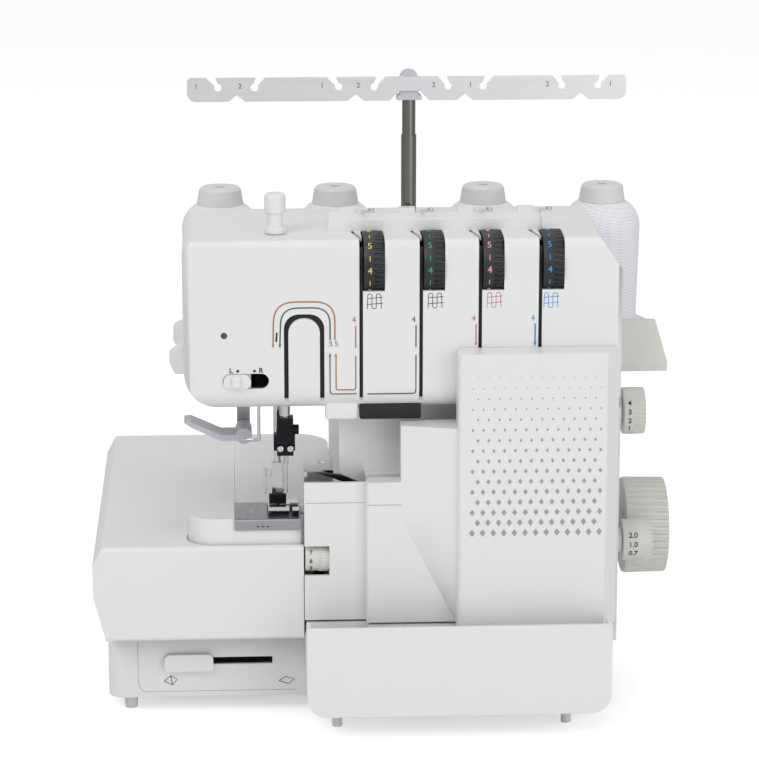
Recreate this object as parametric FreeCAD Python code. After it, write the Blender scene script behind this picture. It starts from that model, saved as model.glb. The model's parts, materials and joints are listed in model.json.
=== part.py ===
"""Overlock sewing machine: base, column, head, free arm, loopers, thread tree and covers.

Millimetres. X runs to the right, -Y to the operator, +Z up. The origin is on the
table top that the machine stands on, in the middle of its footprint.
"""
import FreeCAD, Part
import math
import os

V = FreeCAD.Vector

# Overall
HALF_WIDTH = 179.0
HALF_DEPTH = 150.0
WALL = 2.5
GAP = 0.5
SEAT_GAP = 0.3
RUN_GAP = 0.05
PRESS_GAP = 0.02
PASS = 1.0
SIDE_REACH = 38.0
TABLE_LEAN = 7.5

# Base
BASE_LEFT = TABLE_LEAN - HALF_WIDTH
BASE_RIGHT = HALF_WIDTH - SIDE_REACH
BASE_FRONT = -92.0
BASE_REAR = 147.0
BASE_BOTTOM = 10.5
BASE_TOP = 50.0
BASE_CORNER = 10.0
FOOT_RADIUS = 4.5
FOOT_TAPER = 0.8
FOOT_INSET = 13.5
SLIDER_INSET = 37.5
SLIDER_LEFT = BASE_LEFT + SLIDER_INSET
SLIDER_LENGTH = 25.0
SLIDER_TRAVEL = 38.0
SLIDER_RISE = 21.0
SLIDER_LOW = BASE_BOTTOM + SLIDER_RISE
SLIDER_HEIGHT = 4.5
SLIDER_CAP = 4.0
SLIDER_LIP = 3.5
SLIDER_KEEPER = 2.0

# Column and its looper space
HEAD_BOTTOM = 198.5
HEAD_SEAT = 5.5
COLUMN_LEFT = -28.0
COLUMN_RIGHT = BASE_RIGHT
COLUMN_FRONT = -88.0
COLUMN_REAR = 104.0
COLUMN_TOP = HEAD_BOTTOM + HEAD_SEAT
CHEEK_FRONT = -113.0

# Head
HEAD_LEFT = -121.8
HEAD_FRONT = -114.0
HEAD_REAR = -15.0
DECK = 302.5
FACET_WIDTH = 14.0
FACET_DROP = 20.0
HEAD_END_RADII = (25.0, 3.0, 0.0, 9.0)
HEAD_SIDE_RADII = (14.0, 0.0, 0.0, 5.0)
HEAD_PLAN_RADII = (8.0, 3.0, 0.0, 0.0)
SLOT_WIDTH = 2.2
SLOT_XS = (-15.6, 20.2, 55.5, 91.4)
SLOT_REACH = 30.0
SLOT_LEAN = 5.0
SLOT_FOOT = 1.0
LINER_THICKNESS = 2.0
LINER_LAP = 3.0
DIAL_RADIUS = 19.5
DIAL_WIDTH = 12.1
DIAL_CHAMFER = 0.8
DIAL_SET_BACK = 17.0
DIAL_DROP = 17.5
DIAL_Y = HEAD_FRONT + DIAL_SET_BACK
DIAL_Z = DECK - DIAL_DROP
AXLE_RADIUS = 2.0
LUG_OFFSET = 16.0
BRACKET_PLATE = 2.0
BRACKET_DROP = 12.0
LUG_REACH = 5.0
LUG_HEIGHT = 12.0
DISC_RADIUS = 9.0
DISC_THICKNESS = 0.6
DISC_SPACING = 1.0
ARCH_X = -49.65
ARCH_HALF_WIDTH = 12.05
ARCH_HEIGHT = 59.5
ARCH_TOP = HEAD_BOTTOM + ARCH_HEIGHT
ARCH_CORNER = 8.9
ARCH_SLIT = 2.7
SWITCH_LEFT = -98.2
SWITCH_WIDTH = 16.7
SWITCH_TRAVEL = 10.7
SWITCH_RISE = 14.2
SWITCH_LOW = HEAD_BOTTOM + SWITCH_RISE
SWITCH_HEIGHT = 9.3
SWITCH_STAND = 2.0
SWITCH_KEEPER = 1.5
SWITCH_LAP = 3.0
LAMP_X = -97.3
LAMP_RISE = 46.9
LAMP_Z = HEAD_BOTTOM + LAMP_RISE
LAMP_RADIUS = 1.9
LAMP_DEPTH = 1.0
BAR_BOSS = 1.5
BAR_BOSS_HEIGHT = 12.0

# Pressure knob, rail and thread tree on the deck
KNOB_X = -66.0
KNOB_Y = -90.0
KNOB_RADIUS = 6.4
KNOB_HEIGHT = 24.5
KNOB_STEM = 14.0
KNOB_FLANGE = 3.0
KNOB_NECK = 12.0
KNOB_WAIST = 1.5
RAIL_LEFT = -35.3
RAIL_RIGHT = 94.8
RAIL_FRONT = -87.5
RAIL_DEPTH = 8.0
RAIL_HEIGHT = 14.0
RAIL_STEP = 1.0
BUMP_HEIGHT = 3.0
BUMP_LEFT = 12.0
BUMP_RIGHT = 2.0
HOOK_WIRE = 1.2
HOOK_PLATE = 8.0
HOOK_REACH = 2.0
HOOK_SCREW = 1.8
POLE_X = 15.0
POLE_Y = -72.0
POLE_RADIUS = 4.6
POLE_BORE = 4.05
POLE_SOCKET_LENGTH = 46.0
POLE_SEAT = 39.9
TREE_TOP = 397.7
TREE_HEAD_HEIGHT = 17.7
TREE_HEAD_WIDTH = 11.0
TREE_HEAD_DEPTH = 10.0
TREE_FLANGE = 2.0
TREE_FLANGE_HEIGHT = 3.0
TREE_BOTTOM = TREE_TOP - TREE_HEAD_HEIGHT
UPPER_TUBE_SHOW = 21.4
UPPER_TUBE_LENGTH = 50.0
POLE_STEP = TREE_BOTTOM - UPPER_TUBE_SHOW
BAR_LEFT = -117.4
BAR_RIGHT = 144.8
BAR_HEIGHT = 14.4
BAR_THICKNESS = 1.2
BAR_RELIEF = 5.6
BAR_RELIEF_HALF = 12.0
NOTCH_DROP = 6.0
NOTCH_RADIUS = 2.2
NOTCH_MOUTH = 3.0
HOOK_NOTCHES = ((-99.0, -5.2), (-77.4, 4.2), (-27.2, -5.2), (-5.9, 4.5),
                (38.2, -4.0), (59.2, 4.2), (106.6, -4.0), (128.0, 4.2))
V_NOTCH_XS = (-87.9, -17.1, 48.3, 117.8)
V_NOTCH_HALF = 4.9
V_NOTCH_DEPTH = 4.0

# Spool stand
LAST_SPOOL_OVERHANG = 6.5
SPOOL_XS = (-99.0, -25.0, 70.4, COLUMN_RIGHT + LAST_SPOOL_OVERHANG)
SPOOL_Y = 48.0
REST_RADIUS = 31.5
STAND_HEIGHT = 10.6
REST_RISE = 1.4
STAND_MARGIN = 6.0
SPOOL_RADIUS = 24.8
SPOOL_FOOT_RADIUS = 23.4
SPOOL_BODY = 63.0
SPOOL_SHOULDER = 15.5
CAP_RADIUS = 15.0
CAP_TOP_RADIUS = 13.4
CAP_HEIGHT = 11.0
CAP_EDGE = 1.5
PIN_RADIUS = 2.5

# Thread cutter on the head's left end
CUTTER_RISE = 15.5
CUTTER_LOW = HEAD_BOTTOM + CUTTER_RISE
CUTTER_HEIGHT = 19.4
CUTTER_REACH = 9.0
CUTTER_SLOPE = 7.0
CUTTER_Y = -75.0
CUTTER_WIDTH = 12.0
CUTTER_SLIT = 1.2
CUTTER_ROOT = 3.0

# Needle space
NEEDLE_X = -61.0
NEEDLE_Y = -88.0
NEEDLE_SPACING = 2.2
NEEDLE_RADIUS = 0.45
NEEDLE_SHANK = 0.85
NEEDLE_SHANK_LENGTH = 6.0
NEEDLE_POINT = 2.5
NEEDLE_TIP = 140.0
NEEDLE_BAR_RADIUS = 3.2
NEEDLE_BAR_DROP = 17.5
NEEDLE_BAR_TOP = DECK - NEEDLE_BAR_DROP
CLAMP_BOTTOM = 165.0
CLAMP_DROP = 9.9
CLAMP_TOP = HEAD_BOTTOM - CLAMP_DROP
CLAMP_HALF = 5.0
CLAMP_KNOB = 3.0
CLAMP_SCREW = 1.7
PRESSER_X = -65.75
PRESSER_Y = -79.0
PRESSER_BAR_RADIUS = 2.15
PRESSER_BAR_DROP = 52.5
PRESSER_BAR_TOP = DECK - PRESSER_BAR_DROP
FOOT_BOTTOM = 130.0
FOOT_THICKNESS = 2.6
HOLDER_TOP = 157.7
HOLDER_WIDTH = 7.0
HOLDER_FRONT = 3.0
HOLDER_REAR = 4.0
FORK_HEIGHT = 4.0
RELEASE_OFFSET = 5.0
RELEASE_THICKNESS = 1.6
FOOT_LEFT = -71.8
FOOT_RIGHT = -52.8
FOOT_TOE = 4.0
FOOT_LIFT = 3.0
FOOT_SLOT = 1.5
LEVER_X = -86.0
LEVER_DROP = 26.5
LEVER_Z = HEAD_BOTTOM - LEVER_DROP
LEVER_PIN = 2.0
LEVER_HUB = 5.0
LEVER_FRONT = -72.0
LEVER_WING_REAR = -54.0
LEVER_LUG_FRONT = -50.0
LEVER_LUG_DEPTH = 4.0
LEVER_LUG_HALF = 4.0
LEVER_REACH = 36.7
LEVER_BEND = 14.0
LEVER_WING = 4.0
LEVER_WING_DROP = 3.0
LEVER_WING_RISE = 12.0
HOOK_X = -77.0
HOOK_Y = -95.0
HOOK_DROP = 22.5
HOOK_LOW = HEAD_BOTTOM - HOOK_DROP
HOOK_FOOT = 9.0
HOOK_RADIUS = 1.0

# Free arm, needle plate and table
ARM_LEFT = -121.0
ARM_RIGHT = -52.0
ARM_FRONT = -105.0
ARM_REAR = -70.0
ARM_BOTTOM = 60.0
ARM_TOP = 129.0
ARM_END_RADIUS = 16.0
ARM_NECK_FRONT = -86.0
PLATE_LEFT = -92.4
PLATE_THICKNESS = 2.0
PLATE_APRON = 1.5
PLATE_DROP = 7.0
FEED_BAR_WIDTH = 3.0
FEED_BAR_XS = (-70.5, -56.5)
FEED_FRONT = -100.0
FEED_REAR = -76.0
FEED_DEPTH = 4.0
FEED_TOOTH = 3.0
FEED_TOOTH_HEIGHT = 0.5
FEED_TRAVEL = 1.5
TABLE_TOP = 113.0
TABLE_BOTTOM = 53.0
TABLE_FRONT = -110.0
TABLE_FRONT_WALL = 3.0
TABLE_SEAM = -92.4
TABLE_FRONT_RIGHT = -50.6
TABLE_SHOULDER = 6.0
TABLE_BROW = 11.0
TABLE_CHIN = 31.0
TABLE_RIB_INSETS = (29.0, 53.0)
BED_CORNER = 24.0

# Looper space
TRAY_BOTTOM = 60.0
COVER_BOTTOM = 66.0
COVER_FRONT = -132.0
COVER_LEFT = 41.4
COVER_INSET = 2.8
COVER_RIGHT = COLUMN_RIGHT - COVER_INSET
COVER_RISE = 38.0
COVER_TOP = HEAD_BOTTOM + COVER_RISE
COVER_FACET = 7.8
COVER_CORNER = 3.0
MID_LEFT = -12.8
MID_FRONT = -119.0
MID_REAR = -106.0
MID_TOP = 154.7
MID_CORNER = 2.0
FLARE_LEFT = 8.0
FLARE_BEND = 132.0
FLARE_DROP = 8.5
FLARE_TOP = HEAD_BOTTOM - FLARE_DROP
LOW_LEFT = -50.2
LOW_FRONT = -112.0
LOW_TOP = 153.0
HINGE_Y = -127.5
HINGE_Z = 80.0
HINGE_PIN = 1.2
KNUCKLE_RADIUS = 2.6
KNUCKLE_LENGTH = 10.0
HINGE_LEFT_INSET = 4.6
HINGE_RIGHT_INSET = 20.2
HINGE_ARM_XS = (COVER_LEFT + HINGE_LEFT_INSET, COVER_RIGHT - HINGE_RIGHT_INSET)
HINGE_ARM_WIDTH = 3.0
HINGE_ARM_DEPTH = 6.0
HINGE_ARM_RISE = 6.0
SHELF_FRONT = -99.5
LOWER_LOOPER_X = -36.0
LOWER_LOOPER_Z = 72.0
LOWER_LOOPER_FRONT = -94.0
LOWER_LOOPER_REACH = 24.0
LOWER_LOOPER_RISE = 44.0
UPPER_LOOPER_X = 2.0
UPPER_LOOPER_Z = 110.0
UPPER_LOOPER_FRONT = -105.0
UPPER_LOOPER_REACH = 44.0
UPPER_LOOPER_RISE = 47.0
LOOPER_SHAFT = 4.0
LOOPER_HUB = 2.5
LOOPER_HUB_LENGTH = 6.0
LOOPER_ARM = 3.0
KNIFE_Z = 148.0
KNIFE_FRONT = -104.0
KNIFE_DEPTH = 8.0
KNIFE_THICKNESS = 2.0
KNIFE_ARM_HEIGHT = 9.0
KNIFE_ARM_RIGHT = -32.0
KNIFE_ARM_REAR = -73.0
LOWER_KNIFE_THICKNESS = 1.6
LOWER_KNIFE_DROP = 18.0
GUIDE_X = -38.0
GUIDE_Y = -79.0
GUIDE_RADIUS = 2.5
GUIDE_RISE = 10.0

# Trim bin
BIN_LEFT = -50.0
BIN_INSET = 7.0
BIN_RIGHT = COLUMN_RIGHT - BIN_INSET
BIN_BOTTOM = 16.5
BIN_RIM = 73.0
BIN_BACK_RIM = 57.0
BIN_CORNER = 12.0
BIN_FOOT_RADIUS = 3.0
BIN_FOOT_INSETS = (19.0, 24.0)
BIN_FOOT_XS = (BIN_LEFT + BIN_FOOT_INSETS[0], BIN_RIGHT - BIN_FOOT_INSETS[1])
BIN_FOOT_Y = -119.0
BIN_SLOPE = 4.0

# Dials and wheels on the right side
SIDE_BOSS = 5.2
STUB_RADIUS = 5.0
LENGTH_DIAL = (-75.0, 186.0, 14.35, 13.3)
FEED_DIAL = (-85.0, 106.0, 12.8, 18.1)
WIDTH_DIAL_Y = -102.4
WIDTH_DIAL_Z = 103.4
WIDTH_DIAL_RADIUS = 8.6
WIDTH_DIAL_LEFT = -49.6
WIDTH_DIAL_LENGTH = 13.6
WIDTH_DIAL_STUB = 3.0
WIDTH_DIAL_POST = 4.0
WIDTH_DIAL_BOSS = 5.0
THREAD_LEVER_Y = -50.0
THREAD_LEVER_RISE = 22.5
THREAD_LEVER_Z = HEAD_BOTTOM + THREAD_LEVER_RISE
PADDLE_RISE = 8.5
PADDLE_HEIGHT = 28.4
PADDLE_BOTTOM = HEAD_BOTTOM + PADDLE_RISE
PADDLE_TOP = PADDLE_BOTTOM + PADDLE_HEIGHT
PADDLE_FRONT = -60.0
PADDLE_REAR = -38.0
PADDLE_LIP = 6.0
PADDLE_THICKNESS = 5.0
PADDLE_WIDTH = 24.3
PADDLE_FLARE = 5.5

# Drive
SHAFT_Y = -40.0
SHAFT_Z = 102.0
SHAFT_RADIUS = 5.0
SHAFT_LEFT = 30.0
WHEEL_LENGTH = 26.6
WHEEL_LEFT = HALF_WIDTH - WHEEL_LENGTH
WHEEL_RADIUS = 30.0
WHEEL_RIM = 8.0
WHEEL_HOLLOW = 6.0
WHEEL_CHAMFER = 2.0
SHAFT_SEAT = 11.5
BEARING_OUTER = 9.0
BEARING_LENGTH = 8.0
BEARING_WEB_X = 40.0
PULLEY_INSET = 41.0
PULLEY_X = COLUMN_RIGHT - PULLEY_INSET
PULLEY_WIDTH = 10.0
PULLEY_FLANGE = 1.2
PULLEY_LIP = 1.5
PULLEY_RADIUS = 28.0
MOTOR_Y = 60.0
MOTOR_Z = 47.0
MOTOR_RADIUS = 26.0
MOTOR_LENGTH = 72.0
MOTOR_GAP = 8.0
MOTOR_LEFT = PULLEY_X - MOTOR_LENGTH - MOTOR_GAP
SADDLE_INSET = 8.0
SADDLE_HALF = 20.0
MOTOR_PULLEY_RADIUS = 8.0
MOTOR_SHAFT = 3.0
BELT_THICKNESS = 2.5
INLET_DEPTH = 14.0
INLET_STAND = 1.0
INLET_FRONT = 62.0
INLET_WIDTH = 24.0
INLET_RISE = 16.0
INLET_LOW = BASE_TOP + INLET_RISE
INLET_HEIGHT = 16.0
INLET_WALL = 3.0
INLET_PIN = 1.6
INLET_PIN_SPACING = 10.0
SCREW_RADIUS = 3.0
SCREW_HEIGHT = 2.0
SCREW_INSET = 10.0

SIDE_FACE = COLUMN_RIGHT + SIDE_BOSS
DIAL_FACE = SIDE_FACE + GAP
STAND_BOTTOM = COLUMN_TOP
REST_TOP = STAND_BOTTOM + STAND_HEIGHT + REST_RISE
ARM_PLATE_TOP = ARM_TOP - PLATE_THICKNESS
TRAY_FLOOR = TRAY_BOTTOM + WALL


def box(x0, x1, y0, y1, z0, z1):
    return Part.makeBox(x1 - x0, y1 - y0, z1 - z0, V(x0, y0, z0))


def rod_x(x0, x1, y, z, radius):
    return Part.makeCylinder(radius, x1 - x0, V(x0, y, z), V(1, 0, 0))


def rod_y(y0, y1, x, z, radius):
    return Part.makeCylinder(radius, y1 - y0, V(x, y0, z), V(0, 1, 0))


def rod_z(z0, z1, x, y, radius):
    return Part.makeCylinder(radius, z1 - z0, V(x, y, z0), V(0, 0, 1))


def join(pieces):
    result = pieces[0].multiFuse(pieces[1:])
    return result.removeSplitter()


def drill(shape, tools):
    return shape.cut(tools)


def rounded_face(u0, u1, v0, v1, radii, place):
    """Rectangle with its own radius at each corner: low-left, low-right, top-right, top-left."""
    corners = [(u0, v0, 1, 1), (u1, v0, -1, 1), (u1, v1, -1, -1), (u0, v1, 1, -1)]
    half = math.sqrt(0.5)
    stretches = []
    for index, (u, v, du, dv) in enumerate(corners):
        radius = radii[index]
        along = (u + du * radius, v)
        across = (u, v + dv * radius)
        middle = (u + du * radius * (1 - half), v + dv * radius * (1 - half))
        ends = (across, middle, along) if index % 2 == 0 else (along, middle, across)
        stretches.append(ends)
    edges = []
    for index, (start, middle, end) in enumerate(stretches):
        if radii[index] > 0:
            edges.append(Part.Arc(place(*start), place(*middle), place(*end)).toShape())
        following = stretches[(index + 1) % 4][0]
        if math.dist(end, following) > 1e-6:
            edges.append(Part.LineSegment(place(*end), place(*following)).toShape())
    return Part.Face(Part.Wire(edges))


def inner_radii(radii, inset):
    """Corner radii of the same outline drawn in by an inset."""
    return tuple(max(radius - inset, 0) for radius in radii)


def slab_z(x0, x1, y0, y1, z0, z1, radii):
    face = rounded_face(x0, x1, y0, y1, radii, lambda u, v: V(u, v, z0))
    return face.extrude(V(0, 0, z1 - z0))


def slab_y(x0, x1, y0, y1, z0, z1, radii):
    face = rounded_face(x0, x1, z0, z1, radii, lambda u, v: V(u, y0, v))
    return face.extrude(V(0, y1 - y0, 0))


def slab_x(x0, x1, y0, y1, z0, z1, radii):
    face = rounded_face(y0, y1, z0, z1, radii, lambda u, v: V(x0, u, v))
    return face.extrude(V(x1 - x0, 0, 0))


def prism_y(points, y0, y1):
    """Polygon of (x, z) points drawn along Y."""
    corners = [V(x, y0, z) for x, z in points]
    return Part.Face(Part.makePolygon(corners + corners[:1])).extrude(V(0, y1 - y0, 0))


def prism_x(points, x0, x1):
    """Polygon of (y, z) points drawn along X."""
    corners = [V(x0, y, z) for y, z in points]
    return Part.Face(Part.makePolygon(corners + corners[:1])).extrude(V(x1 - x0, 0, 0))


def prism_z(points, z0, z1):
    """Polygon of (x, y) points drawn along Z."""
    corners = [V(x, y, z0) for x, y in points]
    return Part.Face(Part.makePolygon(corners + corners[:1])).extrude(V(0, 0, z1 - z0))


def turned(points, x, y):
    """Turn a polygon of (radius, z) points about the upright axis at x, y."""
    corners = [V(x + radius, y, z) for radius, z in points]
    face = Part.Face(Part.makePolygon(corners + corners[:1]))
    return face.revolve(V(x, y, 0), V(0, 0, 1), 360)


def base_frame():
    """Closed tray with a panel slot for the slider, open on top only inside the column."""
    outer = slab_z(BASE_LEFT, BASE_RIGHT, BASE_FRONT, BASE_REAR, BASE_BOTTOM, BASE_TOP, (BASE_CORNER,) * 4)
    inside = slab_z(BASE_LEFT + WALL, BASE_RIGHT - WALL, BASE_FRONT + WALL, BASE_REAR - WALL,
                    BASE_BOTTOM + WALL, BASE_TOP - WALL, (BASE_CORNER - WALL,) * 4)
    column_room = box(COLUMN_LEFT + WALL, COLUMN_RIGHT - WALL, COLUMN_FRONT + WALL, COLUMN_REAR - WALL,
                      BASE_BOTTOM + WALL, BASE_TOP + GAP)
    slot_right = SLIDER_LEFT + SLIDER_LENGTH + SLIDER_TRAVEL + 2 * GAP
    slot = box(SLIDER_LEFT - GAP, slot_right, BASE_FRONT - GAP, BASE_FRONT + WALL + GAP,
               SLIDER_LOW, SLIDER_LOW + SLIDER_HEIGHT)
    return drill(outer, [inside, column_room, slot])


def base_slider():
    """Cap in front of the panel, stem through its slot and a keeper behind it."""
    right = SLIDER_LEFT + SLIDER_LENGTH
    low = SLIDER_LOW + SEAT_GAP
    high = SLIDER_LOW + SLIDER_HEIGHT - SEAT_GAP
    front = BASE_FRONT - SEAT_GAP
    back = BASE_FRONT + WALL + SEAT_GAP
    stem = box(SLIDER_LEFT, right, front - SLIDER_CAP / 2, back + SLIDER_KEEPER / 2, low, high)
    cap = slab_y(SLIDER_LEFT - WALL, right + WALL, front - SLIDER_CAP, front, low - SLIDER_LIP,
                 high + SLIDER_LIP, (SLIDER_LIP,) * 4)
    keeper = box(SLIDER_LEFT, right, back, back + SLIDER_KEEPER, low - WALL, high + WALL)
    return join([stem, cap, keeper])


def rubber_feet():
    feet = []
    for x in (BASE_LEFT + FOOT_INSET, BASE_RIGHT - FOOT_INSET):
        for y in (BASE_FRONT + FOOT_INSET, BASE_REAR - FOOT_INSET):
            feet.append(Part.makeCone(FOOT_RADIUS - FOOT_TAPER, FOOT_RADIUS, BASE_BOTTOM, V(x, y, 0)))
    return Part.makeCompound(feet)


def side_bore(y, z, radius):
    return rod_x(COLUMN_RIGHT - 4 * WALL, SIDE_FACE + GAP, y, z, radius)


def side_boss(y, z, radius):
    return rod_x(COLUMN_RIGHT - WALL, SIDE_FACE, y, z, radius)


def column_casing():
    """Upright housing with its cheek on the right and the webs that hold the main shaft."""
    outer = box(COLUMN_LEFT, COLUMN_RIGHT, COLUMN_FRONT, COLUMN_REAR, BASE_TOP, COLUMN_TOP)
    head_room = box(COLUMN_LEFT - GAP, COLUMN_RIGHT + GAP, COLUMN_FRONT - GAP, HEAD_REAR + WALL,
                    HEAD_BOTTOM, COLUMN_TOP + GAP)
    low_room = box(COLUMN_LEFT + WALL, COLUMN_RIGHT - WALL, COLUMN_FRONT + WALL, COLUMN_REAR,
                   BASE_TOP - GAP, HEAD_BOTTOM - WALL)
    back_room = box(COLUMN_LEFT + WALL, COLUMN_RIGHT - WALL, HEAD_REAR + 2 * WALL, COLUMN_REAR,
                    BASE_TOP, COLUMN_TOP - WALL)
    shell = drill(outer, [head_room, low_room, back_room])
    cheek = box(COLUMN_RIGHT - WALL, COLUMN_RIGHT, CHEEK_FRONT, COLUMN_FRONT + WALL, BASE_TOP,
                HEAD_BOTTOM - GAP)
    shelf = box(MID_LEFT, COVER_LEFT, SHELF_FRONT, COLUMN_FRONT + WALL, MID_TOP - WALL, MID_TOP)
    web = box(BEARING_WEB_X, BEARING_WEB_X + BEARING_LENGTH, COLUMN_FRONT, SHAFT_Y + 2 * BEARING_OUTER,
              SHAFT_Z - 2 * BEARING_OUTER, SHAFT_Z + 2 * BEARING_OUTER)
    bosses = [side_boss(LENGTH_DIAL[0], LENGTH_DIAL[1], STUB_RADIUS + WALL),
              side_boss(FEED_DIAL[0], FEED_DIAL[1], STUB_RADIUS + WALL),
              side_boss(SHAFT_Y, SHAFT_Z, BEARING_OUTER + WALL)]
    solid = join([shell, cheek, shelf, web] + bosses)
    looper_bore = rod_y(COLUMN_FRONT - GAP, COLUMN_FRONT + WALL + GAP, UPPER_LOOPER_X, UPPER_LOOPER_Z,
                        LOOPER_SHAFT + RUN_GAP)
    bores = [side_bore(LENGTH_DIAL[0], LENGTH_DIAL[1], STUB_RADIUS + RUN_GAP),
             side_bore(FEED_DIAL[0], FEED_DIAL[1], STUB_RADIUS + RUN_GAP),
             side_bore(SHAFT_Y, SHAFT_Z, BEARING_OUTER),
             rod_x(BEARING_WEB_X - GAP, BEARING_WEB_X + BEARING_LENGTH + GAP, SHAFT_Y, SHAFT_Z,
                   BEARING_OUTER),
             looper_bore, inlet_block()]
    return drill(solid, bores)


def rear_panel(left, right, rear, low, high):
    return box(left, right, rear, rear + WALL, low, high)


def rounded_head(inset, rear):
    """Head block: end view, side view and plan, each with its own corners, cut from one another."""
    left, right = HEAD_LEFT + inset, COLUMN_RIGHT - inset
    front, low, high = HEAD_FRONT + inset, HEAD_BOTTOM + inset, DECK - inset
    end_view = slab_y(left, right, front, rear, low, high, inner_radii(HEAD_END_RADII, inset))
    side_view = slab_x(left, right, front, rear, low, high, inner_radii(HEAD_SIDE_RADII, inset))
    plan = slab_z(left, right, front, rear, low, high, inner_radii(HEAD_PLAN_RADII, inset))
    facet = prism_y([(right - FACET_WIDTH, high), (right, high - FACET_DROP), (right, high)], front, rear)
    return end_view.common(side_view).common(plan).cut(facet)


def slot_cut(x):
    """Thread slot: upright in the face, then leaning to the left as it runs back over the deck."""
    left, right = x - SLOT_WIDTH / 2, x + SLOT_WIDTH / 2
    front, bend, rear = HEAD_FRONT - GAP, HEAD_FRONT + 2 * WALL, HEAD_FRONT + SLOT_REACH
    on_deck = prism_z([(left, front), (right, front), (right, bend), (right - SLOT_LEAN, rear),
                       (left - SLOT_LEAN, rear), (left, bend)], DIAL_Z, DECK + GAP)
    in_face = box(left, right, front, bend, HEAD_BOTTOM + SLOT_FOOT, DECK - WALL)
    return on_deck.fuse(in_face)


def dial_left(x):
    return x + SLOT_WIDTH / 2 + GAP


def dial_window(x):
    left = dial_left(x)
    under_deck = math.sqrt(DIAL_RADIUS ** 2 - (DECK - WALL - DIAL_Z) ** 2)
    behind_face = math.sqrt(DIAL_RADIUS ** 2 - (HEAD_FRONT + WALL - DIAL_Y) ** 2)
    return box(left - 2 * GAP, left + DIAL_WIDTH + GAP, HEAD_FRONT - WALL, DIAL_Y + under_deck + GAP,
               DIAL_Z - behind_face - GAP, DECK + WALL)


def arch_face(half_width, top):
    """Upright plate with a round top corner on each side, seen from the front."""
    return slab_y(ARCH_X - half_width, ARCH_X + half_width, HEAD_FRONT - GAP, HEAD_FRONT + 2 * WALL,
                  HEAD_BOTTOM + SLOT_FOOT, top, (0, 0, ARCH_CORNER, ARCH_CORNER))


def head_casing():
    shell = drill(rounded_head(0, HEAD_REAR), [rounded_head(WALL, HEAD_REAR + GAP)])
    socket = rod_z(DECK - POLE_SOCKET_LENGTH, DECK - WALL / 2, POLE_X, POLE_Y, POLE_RADIUS + WALL)
    boss_top = HEAD_BOTTOM + BAR_BOSS_HEIGHT
    needle_boss = rod_z(HEAD_BOTTOM + WALL / 2, boss_top, NEEDLE_X, NEEDLE_Y, NEEDLE_BAR_RADIUS + BAR_BOSS)
    presser_boss = rod_z(HEAD_BOTTOM + WALL / 2, boss_top, PRESSER_X, PRESSER_Y,
                         PRESSER_BAR_RADIUS + BAR_BOSS)
    solid = join([shell, socket, needle_boss, presser_boss])
    tools = [slot_cut(x) for x in SLOT_XS] + [dial_window(x) for x in SLOT_XS]
    tools.append(arch_face(ARCH_HALF_WIDTH,
                           ARCH_TOP).cut(arch_face(ARCH_HALF_WIDTH - ARCH_SLIT, ARCH_TOP - ARCH_SLIT)))
    switch_right = SWITCH_LEFT + SWITCH_WIDTH + SWITCH_TRAVEL
    round_end = SWITCH_HEIGHT / 2 - RUN_GAP
    tools.append(slab_y(SWITCH_LEFT, switch_right, HEAD_FRONT - GAP, HEAD_FRONT + WALL + GAP,
                        SWITCH_LOW, SWITCH_LOW + SWITCH_HEIGHT, (round_end,) * 4))
    tools.append(rod_y(HEAD_FRONT - GAP, HEAD_FRONT + LAMP_DEPTH, LAMP_X, LAMP_Z, LAMP_RADIUS))
    tools.append(rod_z(DECK - POLE_SOCKET_LENGTH - GAP, DECK + GAP, POLE_X, POLE_Y, POLE_RADIUS + RUN_GAP))
    tools.append(rod_z(HEAD_BOTTOM - GAP, boss_top + GAP, NEEDLE_X, NEEDLE_Y, NEEDLE_BAR_RADIUS + RUN_GAP))
    tools.append(rod_z(HEAD_BOTTOM - GAP, boss_top + GAP, PRESSER_X, PRESSER_Y, PRESSER_BAR_RADIUS + RUN_GAP))
    tools.append(rod_z(DECK - 2 * WALL, DECK + GAP, KNOB_X, KNOB_Y, KNOB_RADIUS / 2 + RUN_GAP))
    tools.append(rod_x(COLUMN_RIGHT - 2 * WALL, COLUMN_RIGHT + GAP, THREAD_LEVER_Y, THREAD_LEVER_Z,
                       STUB_RADIUS + RUN_GAP))
    return drill(solid, tools)


def lever_bracket():
    """Plate under the head with the lug that the foot lever's pin turns in."""
    rear = LEVER_LUG_FRONT + LEVER_LUG_DEPTH
    left, right = LEVER_X - LEVER_LUG_HALF, LEVER_X + LEVER_LUG_HALF
    lug = box(left, right, LEVER_LUG_FRONT, rear, LEVER_Z - LEVER_HUB, HEAD_BOTTOM)
    flange = box(left, right, LEVER_LUG_FRONT, rear + 2 * LEVER_LUG_DEPTH, HEAD_BOTTOM - WALL, HEAD_BOTTOM)
    bore = rod_y(LEVER_LUG_FRONT - GAP, rear + GAP, LEVER_X, LEVER_Z, LEVER_PIN + RUN_GAP)
    return drill(join([lug, flange]), [bore])


def slot_liners():
    """Dark channels that follow the inside of the face behind the tension slots and the arch."""
    lining = drill(rounded_head(WALL, HEAD_REAR - GAP), [rounded_head(WALL + LINER_THICKNESS, HEAD_REAR)])
    front, rear = HEAD_FRONT, HEAD_FRONT + HEAD_SIDE_RADII[0]
    low = HEAD_BOTTOM
    strips = []
    for x in SLOT_XS:
        wide = box(x - LINER_LAP, x + LINER_LAP, front, rear, low, DIAL_Z - DIAL_RADIUS - GAP)
        narrow = box(x - LINER_LAP, x + SLOT_WIDTH / 2, front, rear, low, DECK - 2 * WALL)
        strips.append(join([wide, narrow]))
    arch_reach = ARCH_HALF_WIDTH + LINER_LAP
    strips.append(box(ARCH_X - arch_reach, ARCH_X + arch_reach - 4 * GAP, front, rear, low,
                      ARCH_TOP + LINER_LAP))
    return Part.makeCompound([strip.common(lining) for strip in strips])


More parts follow.
